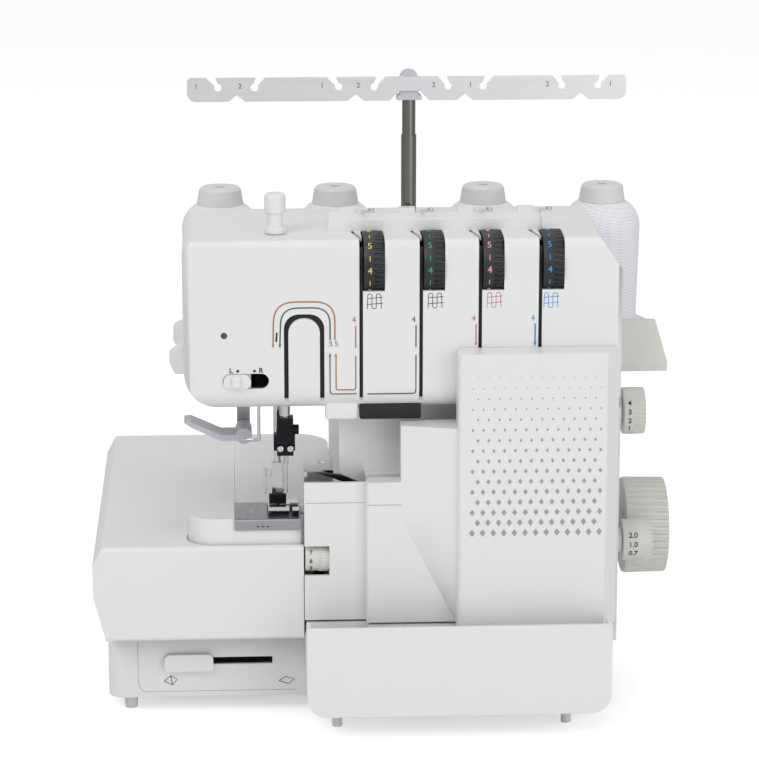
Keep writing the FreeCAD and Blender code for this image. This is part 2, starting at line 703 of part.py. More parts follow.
def tension_dial(x):
    left = dial_left(x)
    wheel = rod_x(left, left + DIAL_WIDTH, DIAL_Y, DIAL_Z, DIAL_RADIUS)
    wheel = wheel.makeChamfer(DIAL_CHAMFER, wheel.Edges[0:1] + wheel.Edges[2:3])
    return wheel.cut(rod_x(left - GAP, left + DIAL_WIDTH + GAP, DIAL_Y, DIAL_Z, AXLE_RADIUS + RUN_GAP))


def tension_bracket():
    """Plate hung from the deck behind the pole's socket, with a lug and an axle for each dial."""
    front = POLE_Y + POLE_RADIUS + WALL + GAP
    left, right = SLOT_XS[0] - LUG_OFFSET, SLOT_XS[-1] + DIAL_WIDTH
    pieces = [box(left, right, front, front + BRACKET_PLATE, DIAL_Z - BRACKET_DROP, DECK - WALL)]
    for x in SLOT_XS:
        lug = x - LUG_OFFSET
        pieces.append(box(lug, lug + BRACKET_PLATE, DIAL_Y - LUG_REACH, front + BRACKET_PLATE / 2,
                          DIAL_Z - LUG_HEIGHT / 2, DIAL_Z + LUG_HEIGHT / 2))
        pieces.append(rod_x(lug, dial_left(x) + DIAL_WIDTH + PASS, DIAL_Y, DIAL_Z, AXLE_RADIUS))
    return join(pieces)


def tension_discs():
    discs = []
    for x in SLOT_XS:
        for middle in (x - DISC_SPACING / 2, x + DISC_SPACING / 2):
            left, right = middle - DISC_THICKNESS / 2, middle + DISC_THICKNESS / 2
            disc = rod_x(left, right, DIAL_Y, DIAL_Z, DISC_RADIUS)
            discs.append(disc.cut(rod_x(left - PASS, right + PASS, DIAL_Y, DIAL_Z, AXLE_RADIUS + RUN_GAP)))
    return Part.makeCompound(discs)


def stitch_switch():
    """Sliding button with a wider keeper behind the face."""
    right = SWITCH_LEFT + SWITCH_WIDTH
    round_end = SWITCH_HEIGHT / 2 - SEAT_GAP - RUN_GAP
    back = HEAD_FRONT + WALL + SEAT_GAP
    button = slab_y(SWITCH_LEFT + SEAT_GAP, right, HEAD_FRONT - SWITCH_STAND, back + SWITCH_KEEPER / 2,
                    SWITCH_LOW + SEAT_GAP, SWITCH_LOW + SWITCH_HEIGHT - SEAT_GAP, (round_end,) * 4)
    keeper = box(SWITCH_LEFT - SWITCH_LAP, right, back, back + SWITCH_KEEPER, SWITCH_LOW - SWITCH_LAP / 3,
                 SWITCH_LOW + SWITCH_HEIGHT + SWITCH_LAP)
    return join([button, keeper])


def pressure_knob():
    top = DECK + KNOB_HEIGHT
    low = DECK + SEAT_GAP
    stem, waist = KNOB_RADIUS / 2, KNOB_RADIUS - KNOB_WAIST
    outline = [(0, low - KNOB_STEM), (stem, low - KNOB_STEM), (stem, low), (KNOB_RADIUS, low),
               (KNOB_RADIUS, low + KNOB_FLANGE), (waist, low + KNOB_FLANGE + KNOB_WAIST / 2),
               (waist, low + KNOB_NECK), (KNOB_RADIUS, low + KNOB_NECK + KNOB_WAIST / 2),
               (KNOB_RADIUS, top - KNOB_WAIST), (waist, top), (0, top)]
    return turned(outline, KNOB_X, KNOB_Y)


def thread_guide_rail():
    rear = RAIL_FRONT + RAIL_DEPTH
    middle, top = DECK + RAIL_HEIGHT / 2, DECK + RAIL_HEIGHT
    lower = slab_z(RAIL_LEFT, RAIL_RIGHT, RAIL_FRONT, rear, DECK, middle, (2 * RAIL_STEP,) * 4)
    front, back = RAIL_FRONT + RAIL_STEP, rear - RAIL_STEP
    upper = slab_z(RAIL_LEFT + RAIL_STEP, RAIL_RIGHT - RAIL_STEP, front, back, middle, top - BUMP_HEIGHT,
                   (RAIL_STEP,) * 4)
    bumps = [slab_z(x - BUMP_LEFT, x - BUMP_RIGHT, front, back, top - BUMP_HEIGHT - RAIL_STEP, top,
                    (RAIL_STEP,) * 4) for x in SLOT_XS]
    return join([lower, upper] + bumps)


def rail_hooks():
    """Small wire guide and screw on the rail at each slot."""
    hooks = []
    low = DECK + RAIL_HEIGHT - BUMP_HEIGHT
    high = low + HOOK_WIRE
    middle = RAIL_FRONT + RAIL_DEPTH / 2
    for x in SLOT_XS:
        left, right = x + HOOK_WIRE, x + HOOK_WIRE + HOOK_PLATE
        plate = box(left, right, middle - HOOK_SCREW, middle + HOOK_SCREW, low, high)
        loop = box(left, left + HOOK_WIRE, RAIL_FRONT - HOOK_REACH, middle + HOOK_SCREW, low, high)
        screw = rod_z(low + HOOK_WIRE / 2, high + HOOK_WIRE, right - HOOK_SCREW, middle, HOOK_SCREW)
        hooks.append(join([plate, loop, screw]))
    return Part.makeCompound(hooks)


def pole_lower_tube():
    low = DECK - POLE_SEAT
    tube = rod_z(low, POLE_STEP, POLE_X, POLE_Y, POLE_RADIUS)
    return tube.cut(rod_z(low - PASS, POLE_STEP + PASS, POLE_X, POLE_Y, POLE_BORE))


def pole_upper_tube():
    return rod_z(TREE_BOTTOM - UPPER_TUBE_LENGTH, TREE_BOTTOM, POLE_X, POLE_Y, POLE_BORE - RUN_GAP)


def tree_head():
    """Round-topped block on the pole with a flange at its foot."""
    half = TREE_HEAD_WIDTH / 2
    front, rear = POLE_Y - TREE_HEAD_DEPTH / 2, POLE_Y + TREE_HEAD_DEPTH / 2
    dome = half - RUN_GAP
    block = slab_y(POLE_X - half, POLE_X + half, front, rear, TREE_BOTTOM, TREE_TOP, (0, 0, dome, dome))
    edge = TREE_FLANGE_HEIGHT / 2
    flange = slab_y(POLE_X - half - TREE_FLANGE, POLE_X + half + TREE_FLANGE, front, rear, TREE_BOTTOM,
                    TREE_BOTTOM + TREE_FLANGE_HEIGHT, (0, 0, edge, edge))
    return join([block, flange])


def hook_notch(x, lean, top, front, rear):
    """Slanted slot from the bar's top edge down to a round seat for the thread."""
    seat = rod_y(front, rear, x, top - NOTCH_DROP, NOTCH_RADIUS)
    slot = prism_y([(x - NOTCH_RADIUS / 2, top - NOTCH_DROP), (x + NOTCH_RADIUS / 2, top - NOTCH_DROP),
                    (x + lean + NOTCH_MOUTH, top + PASS), (x + lean - NOTCH_MOUTH, top + PASS)], front, rear)
    return seat.fuse(slot)


def tree_bar():
    """Notched guide bar held flat against the front of the tree's head, relieved round the pole."""
    rear = POLE_Y - TREE_HEAD_DEPTH / 2
    front = rear - BAR_THICKNESS
    low = TREE_BOTTOM + RUN_GAP
    top = low + BAR_HEIGHT
    end_low, end_high = 2 * WALL, WALL
    bar = slab_y(BAR_LEFT, BAR_RIGHT, front, rear, low, top, (end_low, end_low, end_high, end_high))
    cuts = [hook_notch(x, lean, top, front - PASS, rear + PASS) for x, lean in HOOK_NOTCHES]
    for x in V_NOTCH_XS:
        cuts.append(prism_y([(x - V_NOTCH_HALF, low), (x, low + V_NOTCH_DEPTH), (x + V_NOTCH_HALF, low)],
                            front - PASS, rear + PASS))
    inner, outer = BAR_RELIEF_HALF - BAR_RELIEF, BAR_RELIEF_HALF
    cuts.append(prism_y([(POLE_X - outer, low), (POLE_X - inner, low + BAR_RELIEF),
                         (POLE_X + inner, low + BAR_RELIEF), (POLE_X + outer, low)],
                        front - PASS, rear + PASS))
    return drill(bar, cuts)


def spool_stand():
    """Tray with a raised round rest and a pin for each cone."""
    top = STAND_BOTTOM + STAND_HEIGHT
    front = HEAD_REAR + 2 * WALL
    rear = SPOOL_Y + REST_RADIUS - STAND_MARGIN
    pieces = [box(SPOOL_XS[0], SPOOL_XS[-1], front, rear, STAND_BOTTOM, top)]
    for x in SPOOL_XS:
        pieces.append(rod_z(STAND_BOTTOM, top, x, SPOOL_Y, REST_RADIUS))
        pieces.append(rod_z(top, REST_TOP, x, SPOOL_Y, SPOOL_RADIUS))
        pieces.append(rod_z(top, REST_TOP + SPOOL_BODY, x, SPOOL_Y, PIN_RADIUS))
    return join(pieces)


def thread_spools():
    """Cones with a slight taper and a round shoulder under the cap."""
    spools = []
    bore = PIN_RADIUS + GAP
    shoulder = REST_TOP + SPOOL_BODY
    top = shoulder + SPOOL_SHOULDER
    neck = CAP_RADIUS
    mid_radius, mid_height = neck + 0.75 * (SPOOL_RADIUS - neck), shoulder + 0.55 * SPOOL_SHOULDER
    for x in SPOOL_XS:
        wire = [Part.makeLine(V(x + bore, SPOOL_Y, REST_TOP), V(x + SPOOL_FOOT_RADIUS, SPOOL_Y, REST_TOP)),
                Part.makeLine(V(x + SPOOL_FOOT_RADIUS, SPOOL_Y, REST_TOP),
                              V(x + SPOOL_RADIUS, SPOOL_Y, shoulder)),
                Part.Arc(V(x + SPOOL_RADIUS, SPOOL_Y, shoulder), V(x + mid_radius, SPOOL_Y, mid_height),
                         V(x + neck, SPOOL_Y, top)).toShape(),
                Part.makeLine(V(x + neck, SPOOL_Y, top), V(x + bore, SPOOL_Y, top)),
                Part.makeLine(V(x + bore, SPOOL_Y, top), V(x + bore, SPOOL_Y, REST_TOP))]
        spools.append(Part.Face(Part.Wire(wire)).revolve(V(x, SPOOL_Y, 0), V(0, 0, 1), 360))
    return Part.makeCompound(spools)


def spool_caps():
    caps = []
    bore = PIN_RADIUS + GAP
    low = REST_TOP + SPOOL_BODY + SPOOL_SHOULDER
    top = low + CAP_HEIGHT
    for x in SPOOL_XS:
        outline = [(bore, low), (CAP_RADIUS, low), (CAP_TOP_RADIUS, top - CAP_EDGE),
                   (CAP_TOP_RADIUS - CAP_EDGE, top),
                   (bore, top)]
        caps.append(turned(outline, x, SPOOL_Y))
    return Part.makeCompound(caps)


def thread_cutter():
    """Hook on the head's left side with a narrow blade slit."""
    high = CUTTER_LOW + CUTTER_HEIGHT
    tip = HEAD_LEFT - CUTTER_REACH
    points = [(HEAD_LEFT, CUTTER_LOW), (HEAD_LEFT, high), (tip, high - CUTTER_SLOPE),
              (tip, CUTTER_LOW + CUTTER_SLOPE),
              (tip + CUTTER_SLOPE / 2, CUTTER_LOW)]
    hook = prism_y(points, CUTTER_Y - CUTTER_WIDTH / 2, CUTTER_Y + CUTTER_WIDTH / 2)
    slit = box(tip - PASS, HEAD_LEFT - CUTTER_ROOT, CUTTER_Y - CUTTER_SLIT / 2, CUTTER_Y + CUTTER_SLIT / 2,
               CUTTER_LOW + CUTTER_SLOPE, high + PASS)
    return hook.cut(slit)


def needle_bar():
    return rod_z(CLAMP_TOP, NEEDLE_BAR_TOP, NEEDLE_X, NEEDLE_Y, NEEDLE_BAR_RADIUS)


def needle_clamp():
    """Steel block under the needle bar with its clamp screws and the thread guide below."""
    front, rear = NEEDLE_Y - CLAMP_HALF, NEEDLE_Y + CLAMP_HALF - PASS
    left, right = NEEDLE_X - CLAMP_HALF, NEEDLE_X + CLAMP_HALF
    body = box(left, right, front, rear, CLAMP_BOTTOM, CLAMP_TOP)
    neck = box(left - 2 * PASS, right + PASS, front + PASS, rear - PASS, CLAMP_BOTTOM + CLAMP_KNOB,
               CLAMP_BOTTOM + 2 * CLAMP_HALF + CLAMP_KNOB)
    knob = rod_x(right, right + 2 * CLAMP_SCREW, NEEDLE_Y - PASS, CLAMP_TOP - CLAMP_HALF - CLAMP_KNOB,
                 CLAMP_KNOB)
    screws = [rod_y(front - CLAMP_SCREW, front + PASS, NEEDLE_X + side * CLAMP_KNOB,
                    CLAMP_BOTTOM + CLAMP_HALF,
                    CLAMP_SCREW) for side in (-1, 1)]
    return join([body, neck, knob] + screws)


def needles():
    pair = []
    step = CLAMP_BOTTOM - NEEDLE_SHANK_LENGTH
    point = NEEDLE_TIP + NEEDLE_POINT
    for side in (-0.5, 0.5):
        x = NEEDLE_X + side * NEEDLE_SPACING
        shank = rod_z(step, CLAMP_BOTTOM, x, NEEDLE_Y, NEEDLE_SHANK)
        blade = rod_z(point, step, x, NEEDLE_Y, NEEDLE_RADIUS)
        tip = Part.makeCone(NEEDLE_RADIUS / 4, NEEDLE_RADIUS, NEEDLE_POINT, V(x, NEEDLE_Y, NEEDLE_TIP))
        pair.append(join([shank, blade, tip]))
    return Part.makeCompound(pair)


def presser_bar():
    return rod_z(HOLDER_TOP, PRESSER_BAR_TOP, PRESSER_X, PRESSER_Y, PRESSER_BAR_RADIUS)


def foot_holder():
    """Ankle under the presser bar: column, fork on the foot and the release lever on its left."""
    low = FOOT_BOTTOM + FOOT_THICKNESS
    half = HOLDER_WIDTH / 2
    front, rear = PRESSER_Y - HOLDER_FRONT, PRESSER_Y + HOLDER_REAR
    column = box(PRESSER_X - half, PRESSER_X + half, front, rear, low + FORK_HEIGHT, HOLDER_TOP)
    fork = box(PRESSER_X - half - PASS, PRESSER_X + half + PASS, front + PASS, rear - PASS, low,
               low + FORK_HEIGHT + GAP)
    release_left = PRESSER_X - half - RELEASE_OFFSET
    release = box(release_left, release_left + RELEASE_THICKNESS, front + PASS, rear - PASS,
                  low + FORK_HEIGHT + PASS,
                  HOLDER_TOP - FORK_HEIGHT)
    link_top = HOLDER_TOP - FORK_HEIGHT - PASS
    link = box(release_left + PASS, PRESSER_X, front + 2 * PASS, rear - 2 * PASS, link_top - FORK_HEIGHT,
               link_top)
    return join([column, fork, release, link])


def presser_foot():
    """Flat sole with an upturned toe and a slot for the needles."""
    front, rear = ARM_FRONT + WALL, FEED_REAR
    low, high = FOOT_BOTTOM, FOOT_BOTTOM + FOOT_THICKNESS
    sole = prism_x([(front, low + FOOT_LIFT), (front, high + FOOT_LIFT), (front + FOOT_TOE, high),
                    (rear, high),
                    (rear, low), (front + FOOT_TOE, low)], FOOT_LEFT, FOOT_RIGHT)
    half = NEEDLE_SPACING + FOOT_SLOT
    slot = box(NEEDLE_X - half, NEEDLE_X + half, NEEDLE_Y - FOOT_SLOT, NEEDLE_Y + FOOT_SLOT, low - PASS,
               high + PASS)
    entry = box(NEEDLE_X + half - FOOT_SLOT, NEEDLE_X + half, front - PASS, NEEDLE_Y, low - PASS,
                high + FOOT_LIFT + PASS)
    return drill(sole, [slot, entry])


def foot_lever():
    """Lifting lever under the head: hub, pivot pin and a broad finger wing."""
    lug_rear = LEVER_LUG_FRONT + LEVER_LUG_DEPTH
    hub = rod_y(LEVER_FRONT, LEVER_LUG_FRONT - SEAT_GAP, LEVER_X, LEVER_Z, LEVER_HUB)
    pin = rod_y(LEVER_LUG_FRONT - PASS, lug_rear, LEVER_X, LEVER_Z, LEVER_PIN)
    tip, bend = LEVER_X - LEVER_REACH, LEVER_X - LEVER_BEND
    low = LEVER_Z - LEVER_WING_DROP
    high = low + LEVER_WING
    wing = prism_y([(LEVER_X, low), (bend, low), (tip + LEVER_WING, low + 2 * LEVER_HUB - PASS),
                    (tip, low + LEVER_WING_RISE), (tip + LEVER_WING, low + LEVER_WING_RISE + GAP),
                    (bend, high), (LEVER_X, high)], LEVER_FRONT, LEVER_WING_REAR)
    return join([hub, pin, wing])


def thread_hook():
    """Bent wire guide hung from the head's underside beside the needle bar."""
    upright = rod_z(HOOK_LOW, HEAD_BOTTOM + PASS, HOOK_X, HOOK_Y, HOOK_RADIUS)
    foot = rod_x(HOOK_X - HOOK_FOOT, HOOK_X, HOOK_Y, HOOK_LOW, HOOK_RADIUS)
    ball = Part.makeSphere(HOOK_RADIUS, V(HOOK_X, HOOK_Y, HOOK_LOW))
    return join([upright, foot, ball]).cut(rounded_head(0, HEAD_REAR))


def free_arm():
    """Hollow arm with a round end, its neck to the column and the knife's guide post."""
    plan = (ARM_END_RADIUS, 0, 0, ARM_END_RADIUS)
    outer = slab_z(ARM_LEFT, ARM_RIGHT, ARM_FRONT, ARM_REAR, ARM_BOTTOM, ARM_TOP, plan)
    inner = slab_z(ARM_LEFT + WALL, ARM_RIGHT + GAP, ARM_FRONT + WALL, ARM_REAR - WALL,
                   ARM_BOTTOM + WALL, ARM_PLATE_TOP, (ARM_END_RADIUS - WALL, 0, 0, ARM_END_RADIUS - WALL))
    seat = box(PLATE_LEFT, ARM_RIGHT + GAP, ARM_FRONT - GAP, ARM_REAR + GAP, ARM_PLATE_TOP, ARM_TOP + GAP)
    shell = drill(outer, [inner, seat])
    neck = box(ARM_RIGHT - WALL, COLUMN_LEFT, ARM_NECK_FRONT, ARM_REAR - 2 * PASS, ARM_BOTTOM, ARM_PLATE_TOP)
    post = rod_z(ARM_PLATE_TOP - PASS, KNIFE_Z + GUIDE_RISE, GUIDE_X, GUIDE_Y, GUIDE_RADIUS)
    bore = rod_y(ARM_NECK_FRONT - GAP, ARM_REAR, LOWER_LOOPER_X, LOWER_LOOPER_Z, LOOPER_SHAFT + RUN_GAP)
    return drill(join([shell, neck, post]), [bore])


def feed_slot(x):
    half = FEED_BAR_WIDTH / 2 + SEAT_GAP
    reach = FEED_TRAVEL + GAP
    return box(x - half, x + half, FEED_FRONT - reach, FEED_REAR + reach, ARM_PLATE_TOP - PASS,
               ARM_TOP + PASS)


def needle_plate():
    top = box(PLATE_LEFT, ARM_RIGHT, ARM_FRONT, ARM_REAR, ARM_PLATE_TOP, ARM_TOP)
    apron = box(PLATE_LEFT, ARM_RIGHT, ARM_FRONT - PLATE_APRON, ARM_FRONT, ARM_TOP - PLATE_DROP, ARM_TOP)
    plate = join([top, apron])
    bend = [edge for edge in plate.Edges
            if abs(edge.CenterOfMass.y - ARM_FRONT + PLATE_APRON) < 0.01
            and abs(edge.CenterOfMass.z - ARM_TOP) < 0.01]
    plate = plate.makeFillet(PLATE_APRON - RUN_GAP, bend)
    half = NEEDLE_SPACING / 2 + FOOT_SLOT
    hole = box(NEEDLE_X - half, NEEDLE_X + half, NEEDLE_Y - FOOT_SLOT, NEEDLE_Y + FOOT_SLOT,
               ARM_PLATE_TOP - PASS,
               ARM_TOP + PASS)
    return drill(plate, [hole] + [feed_slot(x) for x in FEED_BAR_XS])


def feed_dog():
    """Two toothed bars joined behind the needles."""
    pieces = []
    half = FEED_BAR_WIDTH / 2
    low = ARM_PLATE_TOP - FEED_DEPTH
    teeth = int((FEED_REAR - FEED_FRONT) / FEED_TOOTH)
    for x in FEED_BAR_XS:
        pieces.append(box(x - half, x + half, FEED_FRONT, FEED_REAR, low, ARM_TOP + RUN_GAP))
        for step in range(teeth):
            y = FEED_FRONT + PASS + FEED_TOOTH * step
            pieces.append(prism_x([(y, ARM_TOP), (y + 2 * FEED_TOOTH / 3, ARM_TOP),
                                   (y + 2 * FEED_TOOTH / 3,
                                    ARM_TOP + FEED_TOOTH_HEIGHT)], x - half, x + half))
    pieces.append(box(FEED_BAR_XS[0] - half, FEED_BAR_XS[1] + half, FEED_REAR - FEED_DEPTH, FEED_REAR, low,
                      ARM_PLATE_TOP - PASS))
    return join(pieces)


def lower_knife():
    return box(ARM_RIGHT, ARM_RIGHT + LOWER_KNIFE_THICKNESS, KNIFE_FRONT, KNIFE_FRONT + KNIFE_DEPTH - PASS,
               ARM_TOP - LOWER_KNIFE_DROP, ARM_TOP)


def upper_knife():
    """Moving blade on a block that slides on the guide post, hollowed over the loopers' path."""
    left = ARM_RIGHT + LOWER_KNIFE_THICKNESS + SEAT_GAP
    right = left + KNIFE_THICKNESS
    rear = KNIFE_FRONT + KNIFE_DEPTH
    top = KNIFE_Z + KNIFE_ARM_HEIGHT
    blade = box(left, right, KNIFE_FRONT, rear, ARM_TOP - 2 * KNIFE_THICKNESS, top + PASS)
    arm = box(left, KNIFE_ARM_RIGHT, rear - KNIFE_THICKNESS, KNIFE_ARM_REAR, KNIFE_Z, top)
    hollow = box(right, KNIFE_ARM_RIGHT + PASS, rear - KNIFE_THICKNESS - PASS, rear + 2 * KNIFE_THICKNESS,
                 KNIFE_Z - PASS, KNIFE_Z + KNIFE_ARM_HEIGHT / 2)
    bore = rod_z(KNIFE_Z - PASS, top + PASS, GUIDE_X, GUIDE_Y, GUIDE_RADIUS + RUN_GAP)
    return drill(join([blade, arm]), [bore, hollow])


def looper(pivot_x, pivot_z, rear, front, reach, rise):
    """Looper on its own rocker shaft: hub, shaft and an arm that bends over into a long point."""
    shaft = rod_y(front, rear, pivot_x, pivot_z, LOOPER_SHAFT)
    hub = rod_y(front, front + LOOPER_HUB_LENGTH, pivot_x, pivot_z, LOOPER_SHAFT + LOOPER_HUB)
    elbow = rise - 2 * LOOPER_SHAFT
    outline = [(-LOOPER_SHAFT, 0), (-reach / 2, elbow), (-reach, rise),
               (-2 * reach / 3, rise - LOOPER_ARM / 2),
               (-reach / 3, elbow), (LOOPER_SHAFT, 0)]
    arm = prism_y([(pivot_x + dx, pivot_z + dz) for dx, dz in outline], front + PASS,
                  front + PASS + LOOPER_ARM)
    return join([shaft, hub, arm])


def lower_looper():
    return looper(LOWER_LOOPER_X, LOWER_LOOPER_Z, ARM_REAR - LOOPER_SHAFT, LOWER_LOOPER_FRONT,
                  LOWER_LOOPER_REACH,
                  LOWER_LOOPER_RISE)


def upper_looper():
    return looper(UPPER_LOOPER_X, UPPER_LOOPER_Z, COLUMN_FRONT + 2 * WALL, UPPER_LOOPER_FRONT,
                  UPPER_LOOPER_REACH,
                  UPPER_LOOPER_RISE)


def bed_plate():
    """Fixed bed behind the arm, with skirts down to the base."""
    left = TABLE_SEAM + 2 * SEAT_GAP
    front = ARM_REAR + GAP
    rear = HALF_DEPTH - GAP
    outer = slab_z(left, COLUMN_LEFT, front, rear, BASE_TOP, TABLE_TOP, (0, 0, BED_CORNER, WALL))
    inner = slab_z(left + WALL, COLUMN_LEFT - WALL, front + WALL, rear - WALL, BASE_TOP - GAP,
                   TABLE_TOP - WALL,
                   (0, 0, BED_CORNER - WALL, 0))
    neck = box(ARM_RIGHT - 2 * WALL, COLUMN_LEFT, front - GAP, front + GAP, ARM_BOTTOM, ARM_PLATE_TOP)
    return drill(outer, [inner, neck])


def table_profile(inset):
    """End view of the table: rounded-over left side that leans in towards the base."""
    low = TABLE_BOTTOM if inset == 0 else TABLE_BOTTOM - GAP
    left, right = inset - HALF_WIDTH, TABLE_FRONT_RIGHT - inset
    return [(left + TABLE_SHOULDER, TABLE_TOP - inset), (left, TABLE_TOP - TABLE_BROW),
            (left, TABLE_TOP - TABLE_CHIN),
            (left + TABLE_LEAN, low), (right, low), (right, TABLE_TOP - inset)]


def flat_table():
    """Lift-off table: left bed, front wall before the arm and a notch round the arm's end."""
    body = prism_y(table_profile(0), TABLE_FRONT, HALF_DEPTH)
    inner = prism_y(table_profile(WALL), TABLE_FRONT + TABLE_FRONT_WALL, HALF_DEPTH - WALL)
    wall = box(TABLE_SEAM - WALL, TABLE_SEAM, ARM_REAR, HALF_DEPTH, TABLE_BOTTOM, TABLE_TOP)
    notch_front = ARM_FRONT - PLATE_APRON - GAP
    low, high = TABLE_BOTTOM - PASS, TABLE_TOP + PASS
    right_room = box(TABLE_SEAM, TABLE_FRONT_RIGHT + PASS, notch_front, HALF_DEPTH + PASS, low, high)
    notch = slab_z(ARM_LEFT - GAP, TABLE_SEAM + PASS, notch_front, ARM_REAR + GAP, low, high,
                   (ARM_END_RADIUS, 0, 0, ARM_END_RADIUS))
    pieces = [drill(body, [inner]), wall]
    for inset in TABLE_RIB_INSETS:
        left = inset - HALF_WIDTH
        pieces.append(box(left, left + WALL, TABLE_FRONT + PASS, HALF_DEPTH - PASS, TABLE_BOTTOM,
                          TABLE_TOP - PASS))
        pieces.append(box(left, left + WALL, BASE_FRONT, BASE_REAR - PASS, BASE_TOP + SEAT_GAP,
                          TABLE_BOTTOM + PASS))
    return drill(join(pieces), [right_room, notch])


def looper_tray():
    """Floor of the looper space with its front lip, the cover's hinge arms and the width dial's post."""
    steps = [(COVER_LEFT + PASS, COVER_RIGHT - COVER_FACET - WALL, COVER_FRONT),
             (MID_LEFT + PASS, COVER_LEFT + 2 * PASS, MID_FRONT),
             (LOW_LEFT + PASS, MID_LEFT + 2 * PASS, LOW_FRONT)]
    pieces = []
    for left, right, front in steps:
        pieces.append(box(left, right, front + SEAT_GAP, COLUMN_FRONT, TRAY_BOTTOM, TRAY_FLOOR))
        pieces.append(box(left, right, front + SEAT_GAP, front + WALL, TRAY_BOTTOM, COVER_BOTTOM - 3 * GAP))
    arm_top = HINGE_Z + HINGE_ARM_RISE
    for x in HINGE_ARM_XS:
        right = x + HINGE_ARM_WIDTH
        pieces.append(box(x, right, MID_REAR - HINGE_ARM_DEPTH, MID_REAR, TRAY_BOTTOM, arm_top))
        pieces.append(box(x, right, HINGE_Y - PASS, MID_REAR, HINGE_Z - SEAT_GAP, arm_top))
        pieces.append(rod_x(x, right + GAP + KNUCKLE_LENGTH, HINGE_Y, HINGE_Z, HINGE_PIN))
    left = WIDTH_DIAL_LEFT + WIDTH_DIAL_LENGTH + GAP
    right = left + WIDTH_DIAL_POST
    pieces.append(box(left, right, WIDTH_DIAL_Y, WIDTH_DIAL_Y + WIDTH_DIAL_BOSS, TRAY_BOTTOM, WIDTH_DIAL_Z))
    pieces.append(rod_x(left, right, WIDTH_DIAL_Y, WIDTH_DIAL_Z, WIDTH_DIAL_BOSS))
    bore = rod_x(left - PASS, right + PASS, WIDTH_DIAL_Y, WIDTH_DIAL_Z, WIDTH_DIAL_STUB + RUN_GAP)
    return drill(join(pieces), [bore])


def cover_block(left, right, front, rear, top, corner):
    """One step of the looper cover: a front with a top and two sides, open behind and below."""
    outer = slab_y(left, right, front, rear, COVER_BOTTOM, top, (0, 0, corner, corner))
    plan = slab_z(left, right, front, rear, COVER_BOTTOM, top, (corner, corner, 0, 0))
    inner = box(left + WALL, right - WALL, front + WALL, rear + GAP, COVER_BOTTOM - GAP, top - WALL)
    return outer.common(plan), inner


def cover_flare():
    """Slanted wall on the raised step's left: upright above its bend, then twisting in to nothing below."""
    right = COVER_LEFT + WALL
    wide = [(right, COVER_FRONT + COVER_CORNER), (FLARE_LEFT, MID_FRONT), (FLARE_LEFT, MID_REAR),
            (right, MID_REAR)]
    narrow = [(right, COVER_FRONT + COVER_CORNER), (COVER_LEFT, MID_FRONT), (COVER_LEFT, MID_REAR),
              (right, MID_REAR)]
    wires = []
    for corners, z in ((narrow, COVER_BOTTOM), (wide, FLARE_BEND)):
        points = [V(x, y, z) for x, y in corners]
        wires.append(Part.makePolygon(points + points[:1]))
    twisted = Part.makeLoft(wires, True, True)
    return twisted.fuse(prism_z(wide, FLARE_BEND, FLARE_TOP))


def looper_cover():
    """Front cover in three steps, hinged on two knuckles near its lower edge."""
    rear = HEAD_FRONT - GAP
    high, high_room = cover_block(COVER_LEFT, COVER_RIGHT, COVER_FRONT, rear, COVER_TOP, COVER_CORNER)
    high = high.cut(prism_z([(COVER_RIGHT - COVER_FACET, COVER_FRONT),
                             (COVER_RIGHT, COVER_FRONT + COVER_FACET),
                             (COVER_RIGHT, COVER_FRONT)], COVER_BOTTOM, COVER_TOP))
    high_room = high_room.cut(prism_z([(COVER_RIGHT - COVER_FACET - WALL, COVER_FRONT),
                                       (COVER_RIGHT, COVER_FRONT + COVER_FACET + WALL),
                                       (COVER_RIGHT, COVER_FRONT)], COVER_BOTTOM - PASS, COVER_TOP))
    middle, middle_room = cover_block(MID_LEFT, COVER_LEFT + WALL, MID_FRONT, MID_REAR, MID_TOP, MID_CORNER)
    flare = cover_flare()
    flare_room = flare.translated(V(2 * WALL, WALL / 2, -WALL))
    low = box(LOW_LEFT, MID_LEFT + WALL, LOW_FRONT, LOW_FRONT + WALL, COVER_BOTTOM, LOW_TOP)
    behind_low = box(MID_LEFT - PASS, MID_LEFT + 2 * WALL, LOW_FRONT + WALL, MID_REAR + PASS,
                     COVER_BOTTOM - PASS,
                     MID_TOP - WALL)
    shell = drill(join([high, middle, flare, low]), [high_room, middle_room, flare_room, behind_low])
    knuckles = []
    pins = []
    for x in HINGE_ARM_XS:
        start = x + HINGE_ARM_WIDTH + GAP
        knuckles.append(rod_x(start, start + KNUCKLE_LENGTH, HINGE_Y, HINGE_Z, KNUCKLE_RADIUS))
        pins.append(rod_x(start - PASS, start + KNUCKLE_LENGTH + PASS, HINGE_Y, HINGE_Z, HINGE_PIN + RUN_GAP))
    window = box(LOW_LEFT - PASS, WIDTH_DIAL_LEFT + WIDTH_DIAL_LENGTH + PASS, LOW_FRONT - PASS,
                 LOW_FRONT + WALL + PASS,
                 WIDTH_DIAL_Z - WIDTH_DIAL_RADIUS - GAP, WIDTH_DIAL_Z + WIDTH_DIAL_RADIUS + 2 * GAP)
    return drill(join([shell] + knuckles), pins + [window])


